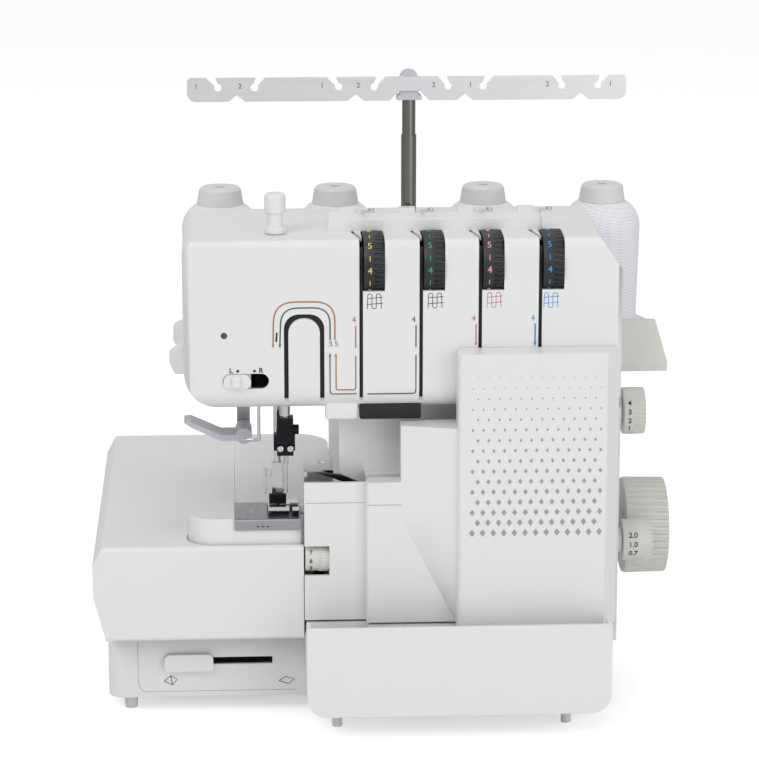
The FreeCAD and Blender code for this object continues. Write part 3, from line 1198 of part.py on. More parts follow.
def trim_bin():
    """Open bin for trimmings: high front, low back under the tray, two small feet."""
    back = BASE_FRONT - SEAT_GAP
    outer = slab_y(BIN_LEFT, BIN_RIGHT, -HALF_DEPTH, back, BIN_BOTTOM, BIN_RIM,
                   (BIN_CORNER, BIN_CORNER, 0, 0))
    inner = slab_y(BIN_LEFT + WALL, BIN_RIGHT - WALL, -HALF_DEPTH + WALL, back - WALL, BIN_BOTTOM + WALL,
                   BIN_RIM + PASS, (BIN_CORNER - WALL, BIN_CORNER - WALL, 0, 0))
    drop = COVER_FRONT - 3 * GAP
    slope = prism_x([(drop - BIN_SLOPE, BIN_RIM + PASS), (drop - BIN_SLOPE, BIN_RIM), (drop, BIN_BACK_RIM),
                     (back + PASS, BIN_BACK_RIM), (back + PASS, BIN_RIM + PASS)],
                    BIN_LEFT - PASS, BIN_RIGHT + PASS)
    feet = [rod_z(0, BIN_BOTTOM + PASS, x, BIN_FOOT_Y, BIN_FOOT_RADIUS) for x in BIN_FOOT_XS]
    return join([drill(outer, [inner, slope])] + feet)


def side_dial(size):
    """Dial on the right side with a stub shaft in the casing's boss."""
    y, z, radius, length = size
    wheel = rod_x(DIAL_FACE, DIAL_FACE + length, y, z, radius)
    wheel = wheel.makeChamfer(DIAL_CHAMFER, wheel.Edges[0:1] + wheel.Edges[2:3])
    return join([wheel, rod_x(COLUMN_RIGHT - 2 * WALL, DIAL_FACE + PASS, y, z, STUB_RADIUS)])


def width_dial():
    left = WIDTH_DIAL_LEFT
    right = left + WIDTH_DIAL_LENGTH
    wheel = rod_x(left, right, WIDTH_DIAL_Y, WIDTH_DIAL_Z, WIDTH_DIAL_RADIUS)
    stub = rod_x(right - PASS, right + GAP + WIDTH_DIAL_POST, WIDTH_DIAL_Y, WIDTH_DIAL_Z, WIDTH_DIAL_STUB)
    return join([wheel, stub])


def threading_lever():
    """Sloping paddle with a thick lower lip, on a stub shaft in the head's right wall."""
    right = DIAL_FACE + PADDLE_WIDTH + PADDLE_FLARE
    lip_top = PADDLE_BOTTOM + PADDLE_LIP
    paddle = prism_x([(PADDLE_FRONT, PADDLE_BOTTOM), (PADDLE_FRONT, lip_top),
                      (PADDLE_REAR - PADDLE_THICKNESS, PADDLE_TOP),
                      (PADDLE_REAR, PADDLE_TOP), (PADDLE_REAR, PADDLE_TOP - PADDLE_LIP),
                      (PADDLE_FRONT + 2 * PADDLE_THICKNESS, PADDLE_BOTTOM)], DIAL_FACE, right)
    trim = prism_y([(right - PADDLE_FLARE, PADDLE_TOP), (right, lip_top), (right, PADDLE_TOP)], PADDLE_FRONT,
                   PADDLE_REAR)
    stub = rod_x(COLUMN_RIGHT - 2 * WALL, DIAL_FACE + PASS, THREAD_LEVER_Y, THREAD_LEVER_Z, STUB_RADIUS)
    return join([paddle.cut(trim), stub])


def handwheel():
    """Deep wheel with a hollow outer face and a hub on the shaft."""
    rim = rod_x(WHEEL_LEFT, HALF_WIDTH, SHAFT_Y, SHAFT_Z, WHEEL_RADIUS)
    rim = rim.makeChamfer(WHEEL_CHAMFER, rim.Edges[0:1] + rim.Edges[2:3])
    hub = rod_x(SIDE_FACE + GAP, WHEEL_LEFT + PASS, SHAFT_Y, SHAFT_Z, 2 * SHAFT_RADIUS)
    hollow = rod_x(HALF_WIDTH - WHEEL_HOLLOW, HALF_WIDTH + PASS, SHAFT_Y, SHAFT_Z, WHEEL_RADIUS - WHEEL_RIM)
    bore = rod_x(SIDE_FACE, WHEEL_LEFT + SHAFT_SEAT + GAP, SHAFT_Y, SHAFT_Z, SHAFT_RADIUS + PRESS_GAP)
    return drill(join([rim, hub]), [hollow, bore])


def main_shaft():
    return rod_x(SHAFT_LEFT, WHEEL_LEFT + SHAFT_SEAT, SHAFT_Y, SHAFT_Z, SHAFT_RADIUS)


def shaft_bearings():
    rings = []
    for left in (BEARING_WEB_X, COLUMN_RIGHT - WALL):
        ring = rod_x(left, left + BEARING_LENGTH - PASS, SHAFT_Y, SHAFT_Z, BEARING_OUTER - PRESS_GAP)
        rings.append(ring.cut(rod_x(left - PASS, left + BEARING_LENGTH, SHAFT_Y, SHAFT_Z,
                                    SHAFT_RADIUS + RUN_GAP)))
    return Part.makeCompound(rings)


def grooved_pulley(y, z, radius, bore):
    """Flat-belt pulley with a flange on each side."""
    rim = rod_x(PULLEY_X, PULLEY_X + PULLEY_WIDTH, y, z, radius)
    flanges = [rod_x(x, x + PULLEY_FLANGE, y, z, radius + PULLEY_LIP)
               for x in (PULLEY_X, PULLEY_X + PULLEY_WIDTH - PULLEY_FLANGE)]
    hole = rod_x(PULLEY_X - PASS, PULLEY_X + PULLEY_WIDTH + PASS, y, z, bore + PRESS_GAP)
    return join([rim] + flanges).cut(hole)


def belt_outline(extra):
    """Two pulley circles joined by their outer tangents, as one solid."""
    left = PULLEY_X + PULLEY_FLANGE + SEAT_GAP
    right = PULLEY_X + PULLEY_WIDTH - PULLEY_FLANGE - SEAT_GAP
    big, small = PULLEY_RADIUS + extra, MOTOR_PULLEY_RADIUS + extra
    dy, dz = MOTOR_Y - SHAFT_Y, MOTOR_Z - SHAFT_Z
    reach = math.hypot(dy, dz)
    heading = math.atan2(dz, dy)
    spread = math.acos((big - small) / reach)
    corners = []
    for turn, near_first in ((heading + spread, True), (heading - spread, False)):
        near = (SHAFT_Y + big * math.cos(turn), SHAFT_Z + big * math.sin(turn))
        far = (MOTOR_Y + small * math.cos(turn), MOTOR_Z + small * math.sin(turn))
        corners += [near, far] if near_first else [far, near]
    run = prism_x(corners, left, right)
    return join([run, rod_x(left, right, SHAFT_Y, SHAFT_Z, big), rod_x(left, right, MOTOR_Y, MOTOR_Z, small)])


def drive_belt():
    return belt_outline(SEAT_GAP + BELT_THICKNESS).cut(belt_outline(SEAT_GAP))


def motor():
    """Motor body on a saddle that stands on the base's floor."""
    body = rod_x(MOTOR_LEFT, MOTOR_LEFT + MOTOR_LENGTH, MOTOR_Y, MOTOR_Z, MOTOR_RADIUS)
    saddle = box(MOTOR_LEFT + SADDLE_INSET, MOTOR_LEFT + MOTOR_LENGTH - SADDLE_INSET, MOTOR_Y - SADDLE_HALF,
                 MOTOR_Y + SADDLE_HALF, BASE_BOTTOM + WALL, MOTOR_Z)
    shaft = rod_x(MOTOR_LEFT, PULLEY_X + PULLEY_WIDTH, MOTOR_Y, MOTOR_Z, MOTOR_SHAFT)
    return join([body, saddle, shaft])


def inlet_block():
    return box(COLUMN_RIGHT - INLET_DEPTH, COLUMN_RIGHT + INLET_STAND, INLET_FRONT, INLET_FRONT + INLET_WIDTH,
               INLET_LOW, INLET_LOW + INLET_HEIGHT)


def power_inlet():
    """Socket for the mains lead with two contact pins."""
    floor = COLUMN_RIGHT - INLET_DEPTH + INLET_WALL
    well = box(floor, COLUMN_RIGHT + INLET_STAND + PASS, INLET_FRONT + INLET_WALL,
               INLET_FRONT + INLET_WIDTH - INLET_WALL, INLET_LOW + INLET_WALL,
               INLET_LOW + INLET_HEIGHT - INLET_WALL)
    middle = INLET_FRONT + INLET_WIDTH / 2
    pins = [rod_x(floor - PASS, COLUMN_RIGHT - PASS, middle + side * INLET_PIN_SPACING / 2,
                  INLET_LOW + INLET_HEIGHT / 2, INLET_PIN) for side in (-1, 1)]
    return join([inlet_block().cut(well)] + pins)


def screw_head(x, rear, z):
    return rod_y(rear, rear + SCREW_HEIGHT, x, z, SCREW_RADIUS)


def casing_screws():
    """Screw heads on the two rear covers."""
    heads = []
    for x in (COLUMN_LEFT + SCREW_INSET, COLUMN_RIGHT - SCREW_INSET):
        for z in (BASE_TOP + SCREW_INSET, COLUMN_TOP - 2 * SCREW_INSET):
            heads.append(screw_head(x, COLUMN_REAR + WALL, z))
    for x in (HEAD_LEFT + 2 * SCREW_INSET, COLUMN_RIGHT - 2 * SCREW_INSET):
        heads.append(screw_head(x, HEAD_REAR + WALL, DECK - 2 * SCREW_INSET))
    return Part.makeCompound(heads)


def column_rear_cover():
    return rear_panel(COLUMN_LEFT, COLUMN_RIGHT, COLUMN_REAR, BASE_TOP, COLUMN_TOP)


def head_rear_cover():
    return rounded_head(0, HEAD_REAR + WALL).common(
        rear_panel(HEAD_LEFT, COLUMN_RIGHT, HEAD_REAR, HEAD_BOTTOM, DECK))


NODES = {
    "base_frame": base_frame,
    "base_slider": base_slider,
    "rubber_feet": rubber_feet,
    "column_casing": column_casing,
    "column_rear_cover": column_rear_cover,
    "head_casing": head_casing,
    "head_rear_cover": head_rear_cover,
    "lever_bracket": lever_bracket,
    "slot_liners": slot_liners,
    "tension_bracket": tension_bracket,
    "tension_discs": tension_discs,
    "stitch_switch": stitch_switch,
    "pressure_knob": pressure_knob,
    "thread_guide_rail": thread_guide_rail,
    "rail_hooks": rail_hooks,
    "pole_lower_tube": pole_lower_tube,
    "pole_upper_tube": pole_upper_tube,
    "tree_head": tree_head,
    "tree_bar": tree_bar,
    "spool_stand": spool_stand,
    "thread_spools": thread_spools,
    "spool_caps": spool_caps,
    "thread_cutter": thread_cutter,
    "thread_hook": thread_hook,
    "needle_bar": needle_bar,
    "needle_clamp": needle_clamp,
    "needles": needles,
    "presser_bar": presser_bar,
    "foot_holder": foot_holder,
    "presser_foot": presser_foot,
    "foot_lever": foot_lever,
    "free_arm": free_arm,
    "needle_plate": needle_plate,
    "feed_dog": feed_dog,
    "lower_knife": lower_knife,
    "upper_knife": upper_knife,
    "lower_looper": lower_looper,
    "upper_looper": upper_looper,
    "bed_plate": bed_plate,
    "flat_table": flat_table,
    "looper_tray": looper_tray,
    "looper_cover": looper_cover,
    "trim_bin": trim_bin,
    "stitch_length_dial": lambda: side_dial(LENGTH_DIAL),
    "feed_dial": lambda: side_dial(FEED_DIAL),
    "width_dial": width_dial,
    "threading_lever": threading_lever,
    "handwheel": handwheel,
    "main_shaft": main_shaft,
    "shaft_bearings": shaft_bearings,
    "shaft_pulley": lambda: grooved_pulley(SHAFT_Y, SHAFT_Z, PULLEY_RADIUS, SHAFT_RADIUS),
    "motor_pulley": lambda: grooved_pulley(MOTOR_Y, MOTOR_Z, MOTOR_PULLEY_RADIUS, MOTOR_SHAFT + RUN_GAP),
    "drive_belt": drive_belt,
    "motor": motor,
    "power_inlet": power_inlet,
    "casing_screws": casing_screws,
}
for number, slot_x in enumerate(SLOT_XS, start=1):
    NODES["tension_dial_%d" % number] = lambda x=slot_x: tension_dial(x)

os.makedirs("parts", exist_ok=True)
for name, make in NODES.items():
    shape = make()
    shape.exportStep("parts/%s.step" % name)
    print(name, len(shape.Solids), shape.isValid(), round(shape.Volume / 1000, 2))
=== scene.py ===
# %% [markdown]
# This file dresses an overlock sewing machine, a serger for four threads, for the camera.
# The engineering model is loaded first. It fixes every size and every joint, so the pieces made
# here sit where that model says and ride on its moving bodies. Sizes are in millimetres, with X to
# the right, Y to the back and Z up, and MM turns them into Blender's metres.

# %% Load the frame
import json
import math

import bpy
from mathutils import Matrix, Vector


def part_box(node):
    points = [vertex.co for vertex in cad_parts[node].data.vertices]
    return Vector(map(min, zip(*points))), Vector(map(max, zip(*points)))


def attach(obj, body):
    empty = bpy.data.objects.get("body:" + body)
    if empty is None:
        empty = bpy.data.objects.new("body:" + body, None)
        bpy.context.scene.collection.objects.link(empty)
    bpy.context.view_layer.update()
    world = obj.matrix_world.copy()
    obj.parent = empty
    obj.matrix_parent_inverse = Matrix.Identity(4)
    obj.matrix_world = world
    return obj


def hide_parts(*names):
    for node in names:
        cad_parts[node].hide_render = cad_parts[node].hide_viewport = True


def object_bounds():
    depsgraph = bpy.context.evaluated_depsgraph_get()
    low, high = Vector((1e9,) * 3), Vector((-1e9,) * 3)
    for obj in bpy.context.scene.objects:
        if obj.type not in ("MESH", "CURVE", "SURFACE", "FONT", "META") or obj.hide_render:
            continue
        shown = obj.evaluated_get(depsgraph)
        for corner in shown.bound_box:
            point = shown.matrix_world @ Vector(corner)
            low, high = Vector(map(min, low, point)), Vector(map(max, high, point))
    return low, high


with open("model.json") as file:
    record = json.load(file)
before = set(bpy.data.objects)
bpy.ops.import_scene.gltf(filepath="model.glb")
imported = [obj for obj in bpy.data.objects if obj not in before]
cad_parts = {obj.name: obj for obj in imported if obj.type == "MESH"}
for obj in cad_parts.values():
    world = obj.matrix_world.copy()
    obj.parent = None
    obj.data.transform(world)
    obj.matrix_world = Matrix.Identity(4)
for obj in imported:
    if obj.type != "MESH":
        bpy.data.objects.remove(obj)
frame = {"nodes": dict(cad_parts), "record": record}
cad_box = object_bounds()
MM = 0.001

# %% [markdown]
# Finishes come first. A paint chart gives a colour as a hex code, but a shader works in linear
# light, so one function turns the code into that. A second one adds a node with its settings and
# links. Every finish starts from a Principled shader, and a number that doesn't vary over the
# surface sits on its own socket.

# %% Colour and node helpers
def linear(hex_colour):
    """Turn a hex colour into linear red, green and blue, with full alpha."""
    channels = [int(hex_colour[i:i + 2], 16) / 255 for i in (1, 3, 5)]
    return [c / 12.92 if c <= 0.04045 else ((c + 0.055) / 1.055) ** 2.4 for c in channels] + [1.0]


def add_node(tree, kind, settings=None, links=None):
    """Add a node. A socket goes by its name, or by its number where several share a name."""
    node = tree.nodes.new(kind)
    for name, value in (settings or {}).items():
        if isinstance(name, int) or name in node.inputs:
            node.inputs[name].default_value = value
        else:
            setattr(node, name, value)
    for name, source in (links or {}).items():
        tree.links.new(source, node.inputs[name])
    return node


def start_finish(name, hex_colour, roughness, metallic=0.0, **sockets):
    """Start a material. Further sockets are given by name, with _ for a space."""
    material = bpy.data.materials.new(name)
    material.use_nodes = True
    tree = material.node_tree
    shader = tree.nodes["Principled BSDF"]
    shader.inputs["Base Color"].default_value = linear(hex_colour)
    shader.inputs["Roughness"].default_value = roughness
    shader.inputs["Metallic"].default_value = metallic
    for socket, value in sockets.items():
        shader.inputs[socket.replace("_", " ")].default_value = value
    return material, tree, shader


print("a mid grey is", round(linear("#808080")[0], 3), "in linear light")

# %% [markdown]
# Moulded ABS makes up the shell. The steel mould leaves a faint ripple about 3 mm wide on the white
# pieces and a finer spark-eroded grain on the grey and black ones, and handling leaves the gloss
# uneven over some centimetres. Both could be painted as images. Noise is used because it needs no
# unwrapping and keeps its real size on every piece. To the eye, highlights then waver a little.

# %% Moulded plastics
PLASTIC_IOR = 1.53
WEAR_MM = 45.0
GRAIN_DEPTH_MM = 0.3
RUBBED_SHINE = 0.05
WORN_DULL = 0.07
NOISE_LOW = 0.3
NOISE_HIGH = 0.7


def moulded_plastic(name, hex_colour, roughness, grain_mm, bump):
    """A moulded finish with grain of one width in its surface and wear in its gloss."""
    material, tree, shader = start_finish(name, hex_colour, roughness, IOR=PLASTIC_IOR)
    where = add_node(tree, "ShaderNodeTexCoord").outputs["Object"]
    grain = add_node(tree, "ShaderNodeTexNoise", {"Scale": 1 / (grain_mm * MM), "Detail": 2.0},
                     {"Vector": where})
    wear = add_node(tree, "ShaderNodeTexNoise", {"Scale": 1 / (WEAR_MM * MM), "Detail": 3.0},
                    {"Vector": where})
    gloss = add_node(tree, "ShaderNodeMapRange",
                     {"From Min": NOISE_LOW, "From Max": NOISE_HIGH,
                      "To Min": roughness - RUBBED_SHINE, "To Max": roughness + WORN_DULL},
                     {"Value": wear.outputs["Fac"]})
    relief = add_node(tree, "ShaderNodeBump", {"Strength": bump, "Distance": GRAIN_DEPTH_MM * MM},
                      {"Height": grain.outputs["Fac"]})
    tree.links.new(gloss.outputs["Result"], shader.inputs["Roughness"])
    tree.links.new(relief.outputs["Normal"], shader.inputs["Normal"])
    return material


# The shell has half a gloss, so its rounded edges carry a soft highlight.
white_abs = moulded_plastic("white_moulded_abs", "#E8E8E8", 0.34, 3.0, 0.06)
# Dials and levers are warmer and duller, which sets them apart from the shell.
warm_grey_abs = moulded_plastic("warm_grey_moulded_abs", "#DAD9D3", 0.42, 1.2, 0.08)
# The spool caps are a cool pale grey.
cap_abs = moulded_plastic("pale_grey_moulded_abs", "#DCDCDC", 0.4, 1.2, 0.06)
# The tension dials are nearly black and show a grey sheen on their ribs.
black_abs = moulded_plastic("black_moulded_abs", "#1B1F24", 0.42, 0.9, 0.10)
# The thread channels are matt and near black, a painted shade that makes the deep slots read as dark lines
# from every side.
slot_shade_black = moulded_plastic("matt_black_slot_shade", "#08090B", 0.6, 0.9, 0.06)
# The foot lever and the tree's head are a bluish grey that lies back behind the white.
inner_grey = moulded_plastic("grey_inner_moulding", "#BFC1C8", 0.5, 1.5, 0.06)
# Rubber scatters light widely and has no clear highlight.
rubber = moulded_plastic("black_moulded_rubber", "#17181A", 0.75, 0.8, 0.2)
white_rubber = moulded_plastic("white_moulded_rubber", "#DEDEDE", 0.7, 0.8, 0.15)
print("plastics:", len(bpy.data.materials))

# %% [markdown]
# The metals differ by how they were worked. Grinding and drawing leave fine parallel scratches,
# and polishing leaves hardly any. They could be cut into the mesh, but they only change how light
# spreads, so a noise that is stretched along the working direction drives the roughness. Real
# scratches are finer than a pixel of the picture and are drawn 0.6 to 2 mm wide so that they show.

# %% Metals
SCRATCH_BUMP = 0.05
SCRATCH_DEPTH_MM = 0.1
SMOOTHEST = 0.03


def worked_metal(name, hex_colour, roughness, stretch, scratch_mm, spread):
    """A metal finish with scratches that are stretched along one axis."""
    material, tree, shader = start_finish(name, hex_colour, roughness, 1.0)
    where = add_node(tree, "ShaderNodeTexCoord").outputs["Object"]
    drawn_out = add_node(tree, "ShaderNodeMapping", {"Scale": stretch}, {"Vector": where})
    scratch = add_node(tree, "ShaderNodeTexNoise", {"Scale": 1 / (scratch_mm * MM), "Detail": 4.0},
                       {"Vector": drawn_out.outputs["Vector"]})
    gloss = add_node(tree, "ShaderNodeMapRange",
                     {"From Min": NOISE_LOW, "From Max": NOISE_HIGH,
                      "To Min": max(roughness - spread, SMOOTHEST), "To Max": roughness + spread},
                     {"Value": scratch.outputs["Fac"]})
    relief = add_node(tree, "ShaderNodeBump",
                      {"Strength": SCRATCH_BUMP, "Distance": SCRATCH_DEPTH_MM * MM},
                      {"Height": scratch.outputs["Fac"]})
    tree.links.new(gloss.outputs["Result"], shader.inputs["Roughness"])
    tree.links.new(relief.outputs["Normal"], shader.inputs["Normal"])
    return material


# The needle plate is ground from front to back and looks silky grey.
ground_steel = worked_metal("ground_plate_steel", "#A3A4A9", 0.36, (1.0, 0.06, 1.0), 0.8, 0.10)
# Needles, bars and foot are polished and mirror the bright room.
polished_steel = worked_metal("polished_steel", "#C9CACC", 0.12, (1.0, 1.0, 0.2), 2.0, 0.05)
# The tubes are plated, and dark and bright bands run along them.
nickel_tube = worked_metal("nickel_plated_tube", "#73726C", 0.22, (1.0, 1.0, 0.04), 1.2, 0.08)
# The notched bar is rolled sheet with a pale satin face.
bar_steel = worked_metal("satin_stamped_steel", "#D6D7D9", 0.38, (0.03, 1.0, 1.0), 2.0, 0.05)
# Blackened steel has a dark oxide with a soft shine.
black_oxide = worked_metal("blackened_steel", "#26272A", 0.30, (1.0, 1.0, 0.3), 1.0, 0.10)
# Sintered bearings are porous, so they are dull and look alike from all sides.
bronze = worked_metal("sintered_bronze", "#9C7A45", 0.45, (1.0, 1.0, 1.0), 0.6, 0.08)
# The pulleys show the fine rings of the lathe.
turned_aluminium = worked_metal("turned_aluminium", "#B9BABC", 0.30, (0.1, 1.0, 1.0), 0.7, 0.08)
print("finishes with the metals:", len(bpy.data.materials))

# %% [markdown]
# A cone of thread is thousands of strands that are laid at a shallow angle and cross each other.
# Strands could be modelled as curves, at a cost of millions of faces. Two sets of waves, one
# tilted each way, give the same crossing lines on the plain cone, and sheen gives the soft edge
# that fibres have. Real strands are about 0.2 mm apart. They are drawn 2 mm apart so that they show.

# %% Wound thread
STRAND_MM = 2.0
STRAND_TILT = 0.16
STRAND_DEPTH_MM = 0.3
# A wave texture with a scale of 1 repeats after this many units.
WAVE_PERIOD = 0.314


def wound_thread():
    """White thread, a little darker in painted shade where strands leave a gap."""
    material, tree, shader = start_finish("wound_polyester_thread", "#E9E9F0", 0.8, Sheen_Weight=0.4)
    where = add_node(tree, "ShaderNodeTexCoord").outputs["Object"]
    heights = []
    for tilt in (STRAND_TILT, -STRAND_TILT):
        leaned = add_node(tree, "ShaderNodeMapping", {"Rotation": (tilt, tilt, 0.0)}, {"Vector": where})
        wave = add_node(tree, "ShaderNodeTexWave",
                        {"bands_direction": "Z", "Scale": WAVE_PERIOD / (STRAND_MM * MM),
                         "Distortion": 0.8, "Detail": 2.0},
                        {"Vector": leaned.outputs["Vector"]})
        heights.append(wave.outputs["Fac"])
    crossed = add_node(tree, "ShaderNodeMath", {"operation": "MAXIMUM"}, {0: heights[0], 1: heights[1]})
    # Painted shade: the colour darkens in the gaps between the crossing strands.
    painted_gap_shade = add_node(tree, "ShaderNodeMixRGB", {"Color1": linear("#DEDEE9"), "Color2": linear("#EFEFF5")},
                     {"Fac": crossed.outputs["Value"]})
    relief = add_node(tree, "ShaderNodeBump", {"Strength": 0.2, "Distance": STRAND_DEPTH_MM * MM},
                      {"Height": crossed.outputs["Value"]})
    tree.links.new(painted_gap_shade.outputs["Color"], shader.inputs["Base Color"])
    tree.links.new(relief.outputs["Normal"], shader.inputs["Normal"])
    return material


thread_finish = wound_thread()
print("made", thread_finish.name)

# %% [markdown]
# Some solids of the engineering model already have the shape that shows: the pieces inside the
# machine, the plain round bars and the cones. They could be modelled again, but that would add
# nothing, so they only get their finish.

# %% Dress the plain solids
DRESSED = {
    white_abs: ["column_rear_cover", "head_rear_cover", "looper_tray"],
    black_abs: ["power_inlet"],
    slot_shade_black: ["slot_liners"],
    thread_finish: ["thread_spools"],
    ground_steel: ["tension_bracket", "tension_discs", "main_shaft", "lower_knife", "feed_dog",
                   "casing_screws", "lever_bracket"],
    polished_steel: ["needle_bar", "needles", "presser_bar", "rail_hooks"],
    nickel_tube: ["pole_lower_tube", "pole_upper_tube"],
    black_oxide: ["lower_looper", "motor"],
    bronze: ["shaft_bearings"],
    rubber: ["drive_belt"],
    white_rubber: ["rubber_feet"],
    turned_aluminium: ["shaft_pulley", "motor_pulley"],
}
for finish, names in DRESSED.items():
    for name in names:
        mesh = frame["nodes"][name].data
        mesh.materials.clear()
        mesh.materials.append(finish)
print("dressed", sum(len(names) for names in DRESSED.values()), "nodes")

# %% [markdown]
# The other pieces are modelled with the same operators that the menus call. An operator acts on
# all that is selected, so each step begins by selecting one piece alone. A modifier is applied as
# soon as it is set, because later steps need its faces.

# %% Selecting and editing helpers
def select_none():
    """Leave edit mode and deselect everything."""
    if bpy.context.object and bpy.context.object.mode != "OBJECT":
        bpy.ops.object.mode_set(mode="OBJECT")
    bpy.ops.object.select_all(action="DESELECT")


def focus(piece):
    """Select one piece alone and make it active."""
    select_none()
    piece.select_set(True)
    bpy.context.view_layer.objects.active = piece


def apply_modifier(piece, kind, **settings):
    """Add, set and apply a modifier."""
    focus(piece)
    modifier = piece.modifiers.new(kind.lower(), kind)
    for name, value in settings.items():
        setattr(modifier, name, value)
    bpy.ops.object.modifier_apply(modifier=modifier.name)


def rounded_edges(piece, radius_mm, segments, sharper_than):
    """Round every edge of a piece that is sharper than an angle in degrees."""
    apply_modifier(piece, "BEVEL", width=radius_mm * MM, segments=segments, limit_method="ANGLE",
                   angle_limit=math.radians(sharper_than))


def smooth_shading(piece, up_to):
    """Shade a piece smoothly across edges up to an angle in degrees."""
    focus(piece)
    bpy.ops.object.shade_smooth_by_angle(angle=math.radians(up_to))


def settle():
    """Put the active piece's place into its mesh and leave its object at the origin."""
    if bpy.context.object.mode != "OBJECT":
        bpy.ops.object.mode_set(mode="OBJECT")
    bpy.ops.object.transform_apply(location=True, rotation=True, scale=True)
    return bpy.context.object


select_none()
print("selected now:", len(bpy.context.selected_objects))

# %% [markdown]
# A finished piece is handed over with its finish, the body that it moves with and, where it covers a solid
# of the engineering model, that solid's name. The body comes from the record, so that each piece moves with
# the solid that carries it.

# %% Handing pieces over
record = frame["record"]
BODY_OF = {node: body for body, nodes in record["behaviour"]["bodies"].items() for node in nodes}


def join_all(pieces):
    """Join pieces into the first of them."""
    select_none()
    for piece in pieces:
        piece.select_set(True)
    bpy.context.view_layer.objects.active = pieces[0]
    if len(pieces) > 1:
        bpy.ops.object.join()
    return bpy.context.object


def shifted_copy(piece, shift):
    """Copy a piece that isn't handed over yet, with its own mesh, to another place."""
    twin = piece.copy()
    twin.data = piece.data.copy()
    bpy.context.scene.collection.objects.link(twin)
    focus(twin)
    twin.location = shift
    return settle()


def hand_over(piece, name, finish, carrier, replaced=False):
    """Give a piece its name, finish and body, and hide the solid that it replaces."""
    piece.name = name
    piece.data.materials.clear()
    piece.data.materials.append(finish)
    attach(piece, BODY_OF[carrier])
    if replaced:
        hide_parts(carrier)
    return piece


# %% [markdown]
# Moulded shells have no knife edges: the mould needs a radius so that the plastic flows and the
# part comes out, and a machined edge is broken with a file. Edges could be rounded one by one. A
# Bevel modifier is used because it finds every edge sharper than 30 degrees by itself. It works
# on a copy of the solid whose triangles have been merged into whole faces. A Weighted Normal
# modifier then keeps the large faces flat to the eye while the rounded edges catch the light.

# %% Soften an edge
WELD_MM = 0.002
NEAR_MM = 0.1
LONG_EDGE_MM = 5
EDGE_SEGMENTS = 3
FRONT_SEGMENTS = 8
FLAT_ANGLE = 1.0
SHARP_ANGLE = 30
SMOOTH_ANGLE = 38
FACE_WEIGHT = 80


def rounded_front(piece, front, heights, radius_mm):
    """Round the long front edges at some heights, before the other edges are softened."""
    focus(piece)
    bpy.ops.object.mode_set(mode="EDIT")
    bpy.ops.mesh.select_mode(type="EDGE")
    bpy.ops.mesh.select_all(action="DESELECT")
    bpy.ops.object.mode_set(mode="OBJECT")
    points = piece.data.vertices
    near = NEAR_MM * MM
    for edge in piece.data.edges:
        start, end = [points[i].co for i in edge.vertices]
        level = abs(start.z - end.z) < near and abs(start.x - end.x) > LONG_EDGE_MM * MM
        at_front = all(abs(point.y - front * MM) < near for point in (start, end))
        at_height = any(abs(start.z - height * MM) < near for height in heights)
        edge.select = level and at_front and at_height
    bpy.ops.object.mode_set(mode="EDIT")
    bpy.ops.mesh.bevel(offset=radius_mm * MM, segments=FRONT_SEGMENTS, clamp_overlap=True)
    bpy.ops.object.mode_set(mode="OBJECT")


def softened(node, radius_mm, finish, front=None):
    """Copy a solid, merge its triangles and round its edges."""
    piece = bpy.data.objects.new(node + "_skin", frame["nodes"][node].data.copy())
    bpy.context.scene.collection.objects.link(piece)
    focus(piece)
    bpy.ops.object.mode_set(mode="EDIT")
    bpy.ops.mesh.select_all(action="SELECT")
    bpy.ops.mesh.remove_doubles(threshold=WELD_MM * MM)
    bpy.ops.mesh.dissolve_limited(angle_limit=math.radians(FLAT_ANGLE))
    bpy.ops.object.mode_set(mode="OBJECT")
    if front:
        rounded_front(piece, *front)
    if radius_mm:
        rounded_edges(piece, radius_mm, EDGE_SEGMENTS, SHARP_ANGLE)
    smooth_shading(piece, SMOOTH_ANGLE)
    apply_modifier(piece, "WEIGHTED_NORMAL", keep_sharp=True, weight=FACE_WEIGHT)
    return hand_over(piece, node + "_skin", finish, node, replaced=True)


print("edges will be found from", SHARP_ANGLE, "degrees")

# %% [markdown]
# Each piece has the radius that its making gives it: a millimetre or more on the large mouldings,
# half of that on small ones and a fraction on ground or stamped steel. The head's edges are
# already round in the solid, and so is the bent wire of the thread hook. The lift-off table has a
# larger round along its front, which is cut first.

# %% Soften the shells and the small metal pieces
TABLE_FRONT = -110.0
TABLE_EDGES = (113.0, 53.0)
TABLE_ROUND = 7.0
ROUND_FRONTS = {"flat_table": (TABLE_FRONT, TABLE_EDGES, TABLE_ROUND)}
SOFTENED = {
    white_abs: {"base_frame": 1.5, "base_slider": 1.0, "column_casing": 1.0, "head_casing": 0.0,
                "free_arm": 1.2, "bed_plate": 1.5, "looper_cover": 1.5, "trim_bin": 1.2,
                "stitch_switch": 0.6, "pressure_knob": 0.6, "thread_guide_rail": 0.6,
                "spool_stand": 1.5, "thread_cutter": 0.8, "flat_table": 1.5},
    cap_abs: {"spool_caps": 0.5},
    warm_grey_abs: {"threading_lever": 1.6},
    inner_grey: {"foot_lever": 1.0, "tree_head": 0.6},
    black_oxide: {"needle_clamp": 0.6, "upper_looper": 0.5},
    polished_steel: {"foot_holder": 0.4, "presser_foot": 0.3, "upper_knife": 0.4, "thread_hook": 0.0},
    ground_steel: {"needle_plate": 0.2},
    bar_steel: {"tree_bar": 0.2},
}
skins = [softened(node, radius_mm, finish, ROUND_FRONTS.get(node))
         for finish, radii in SOFTENED.items() for node, radius_mm in radii.items()]
print("softened", len(skins), "pieces,", sum(len(skin.data.polygons) for skin in skins), "faces")

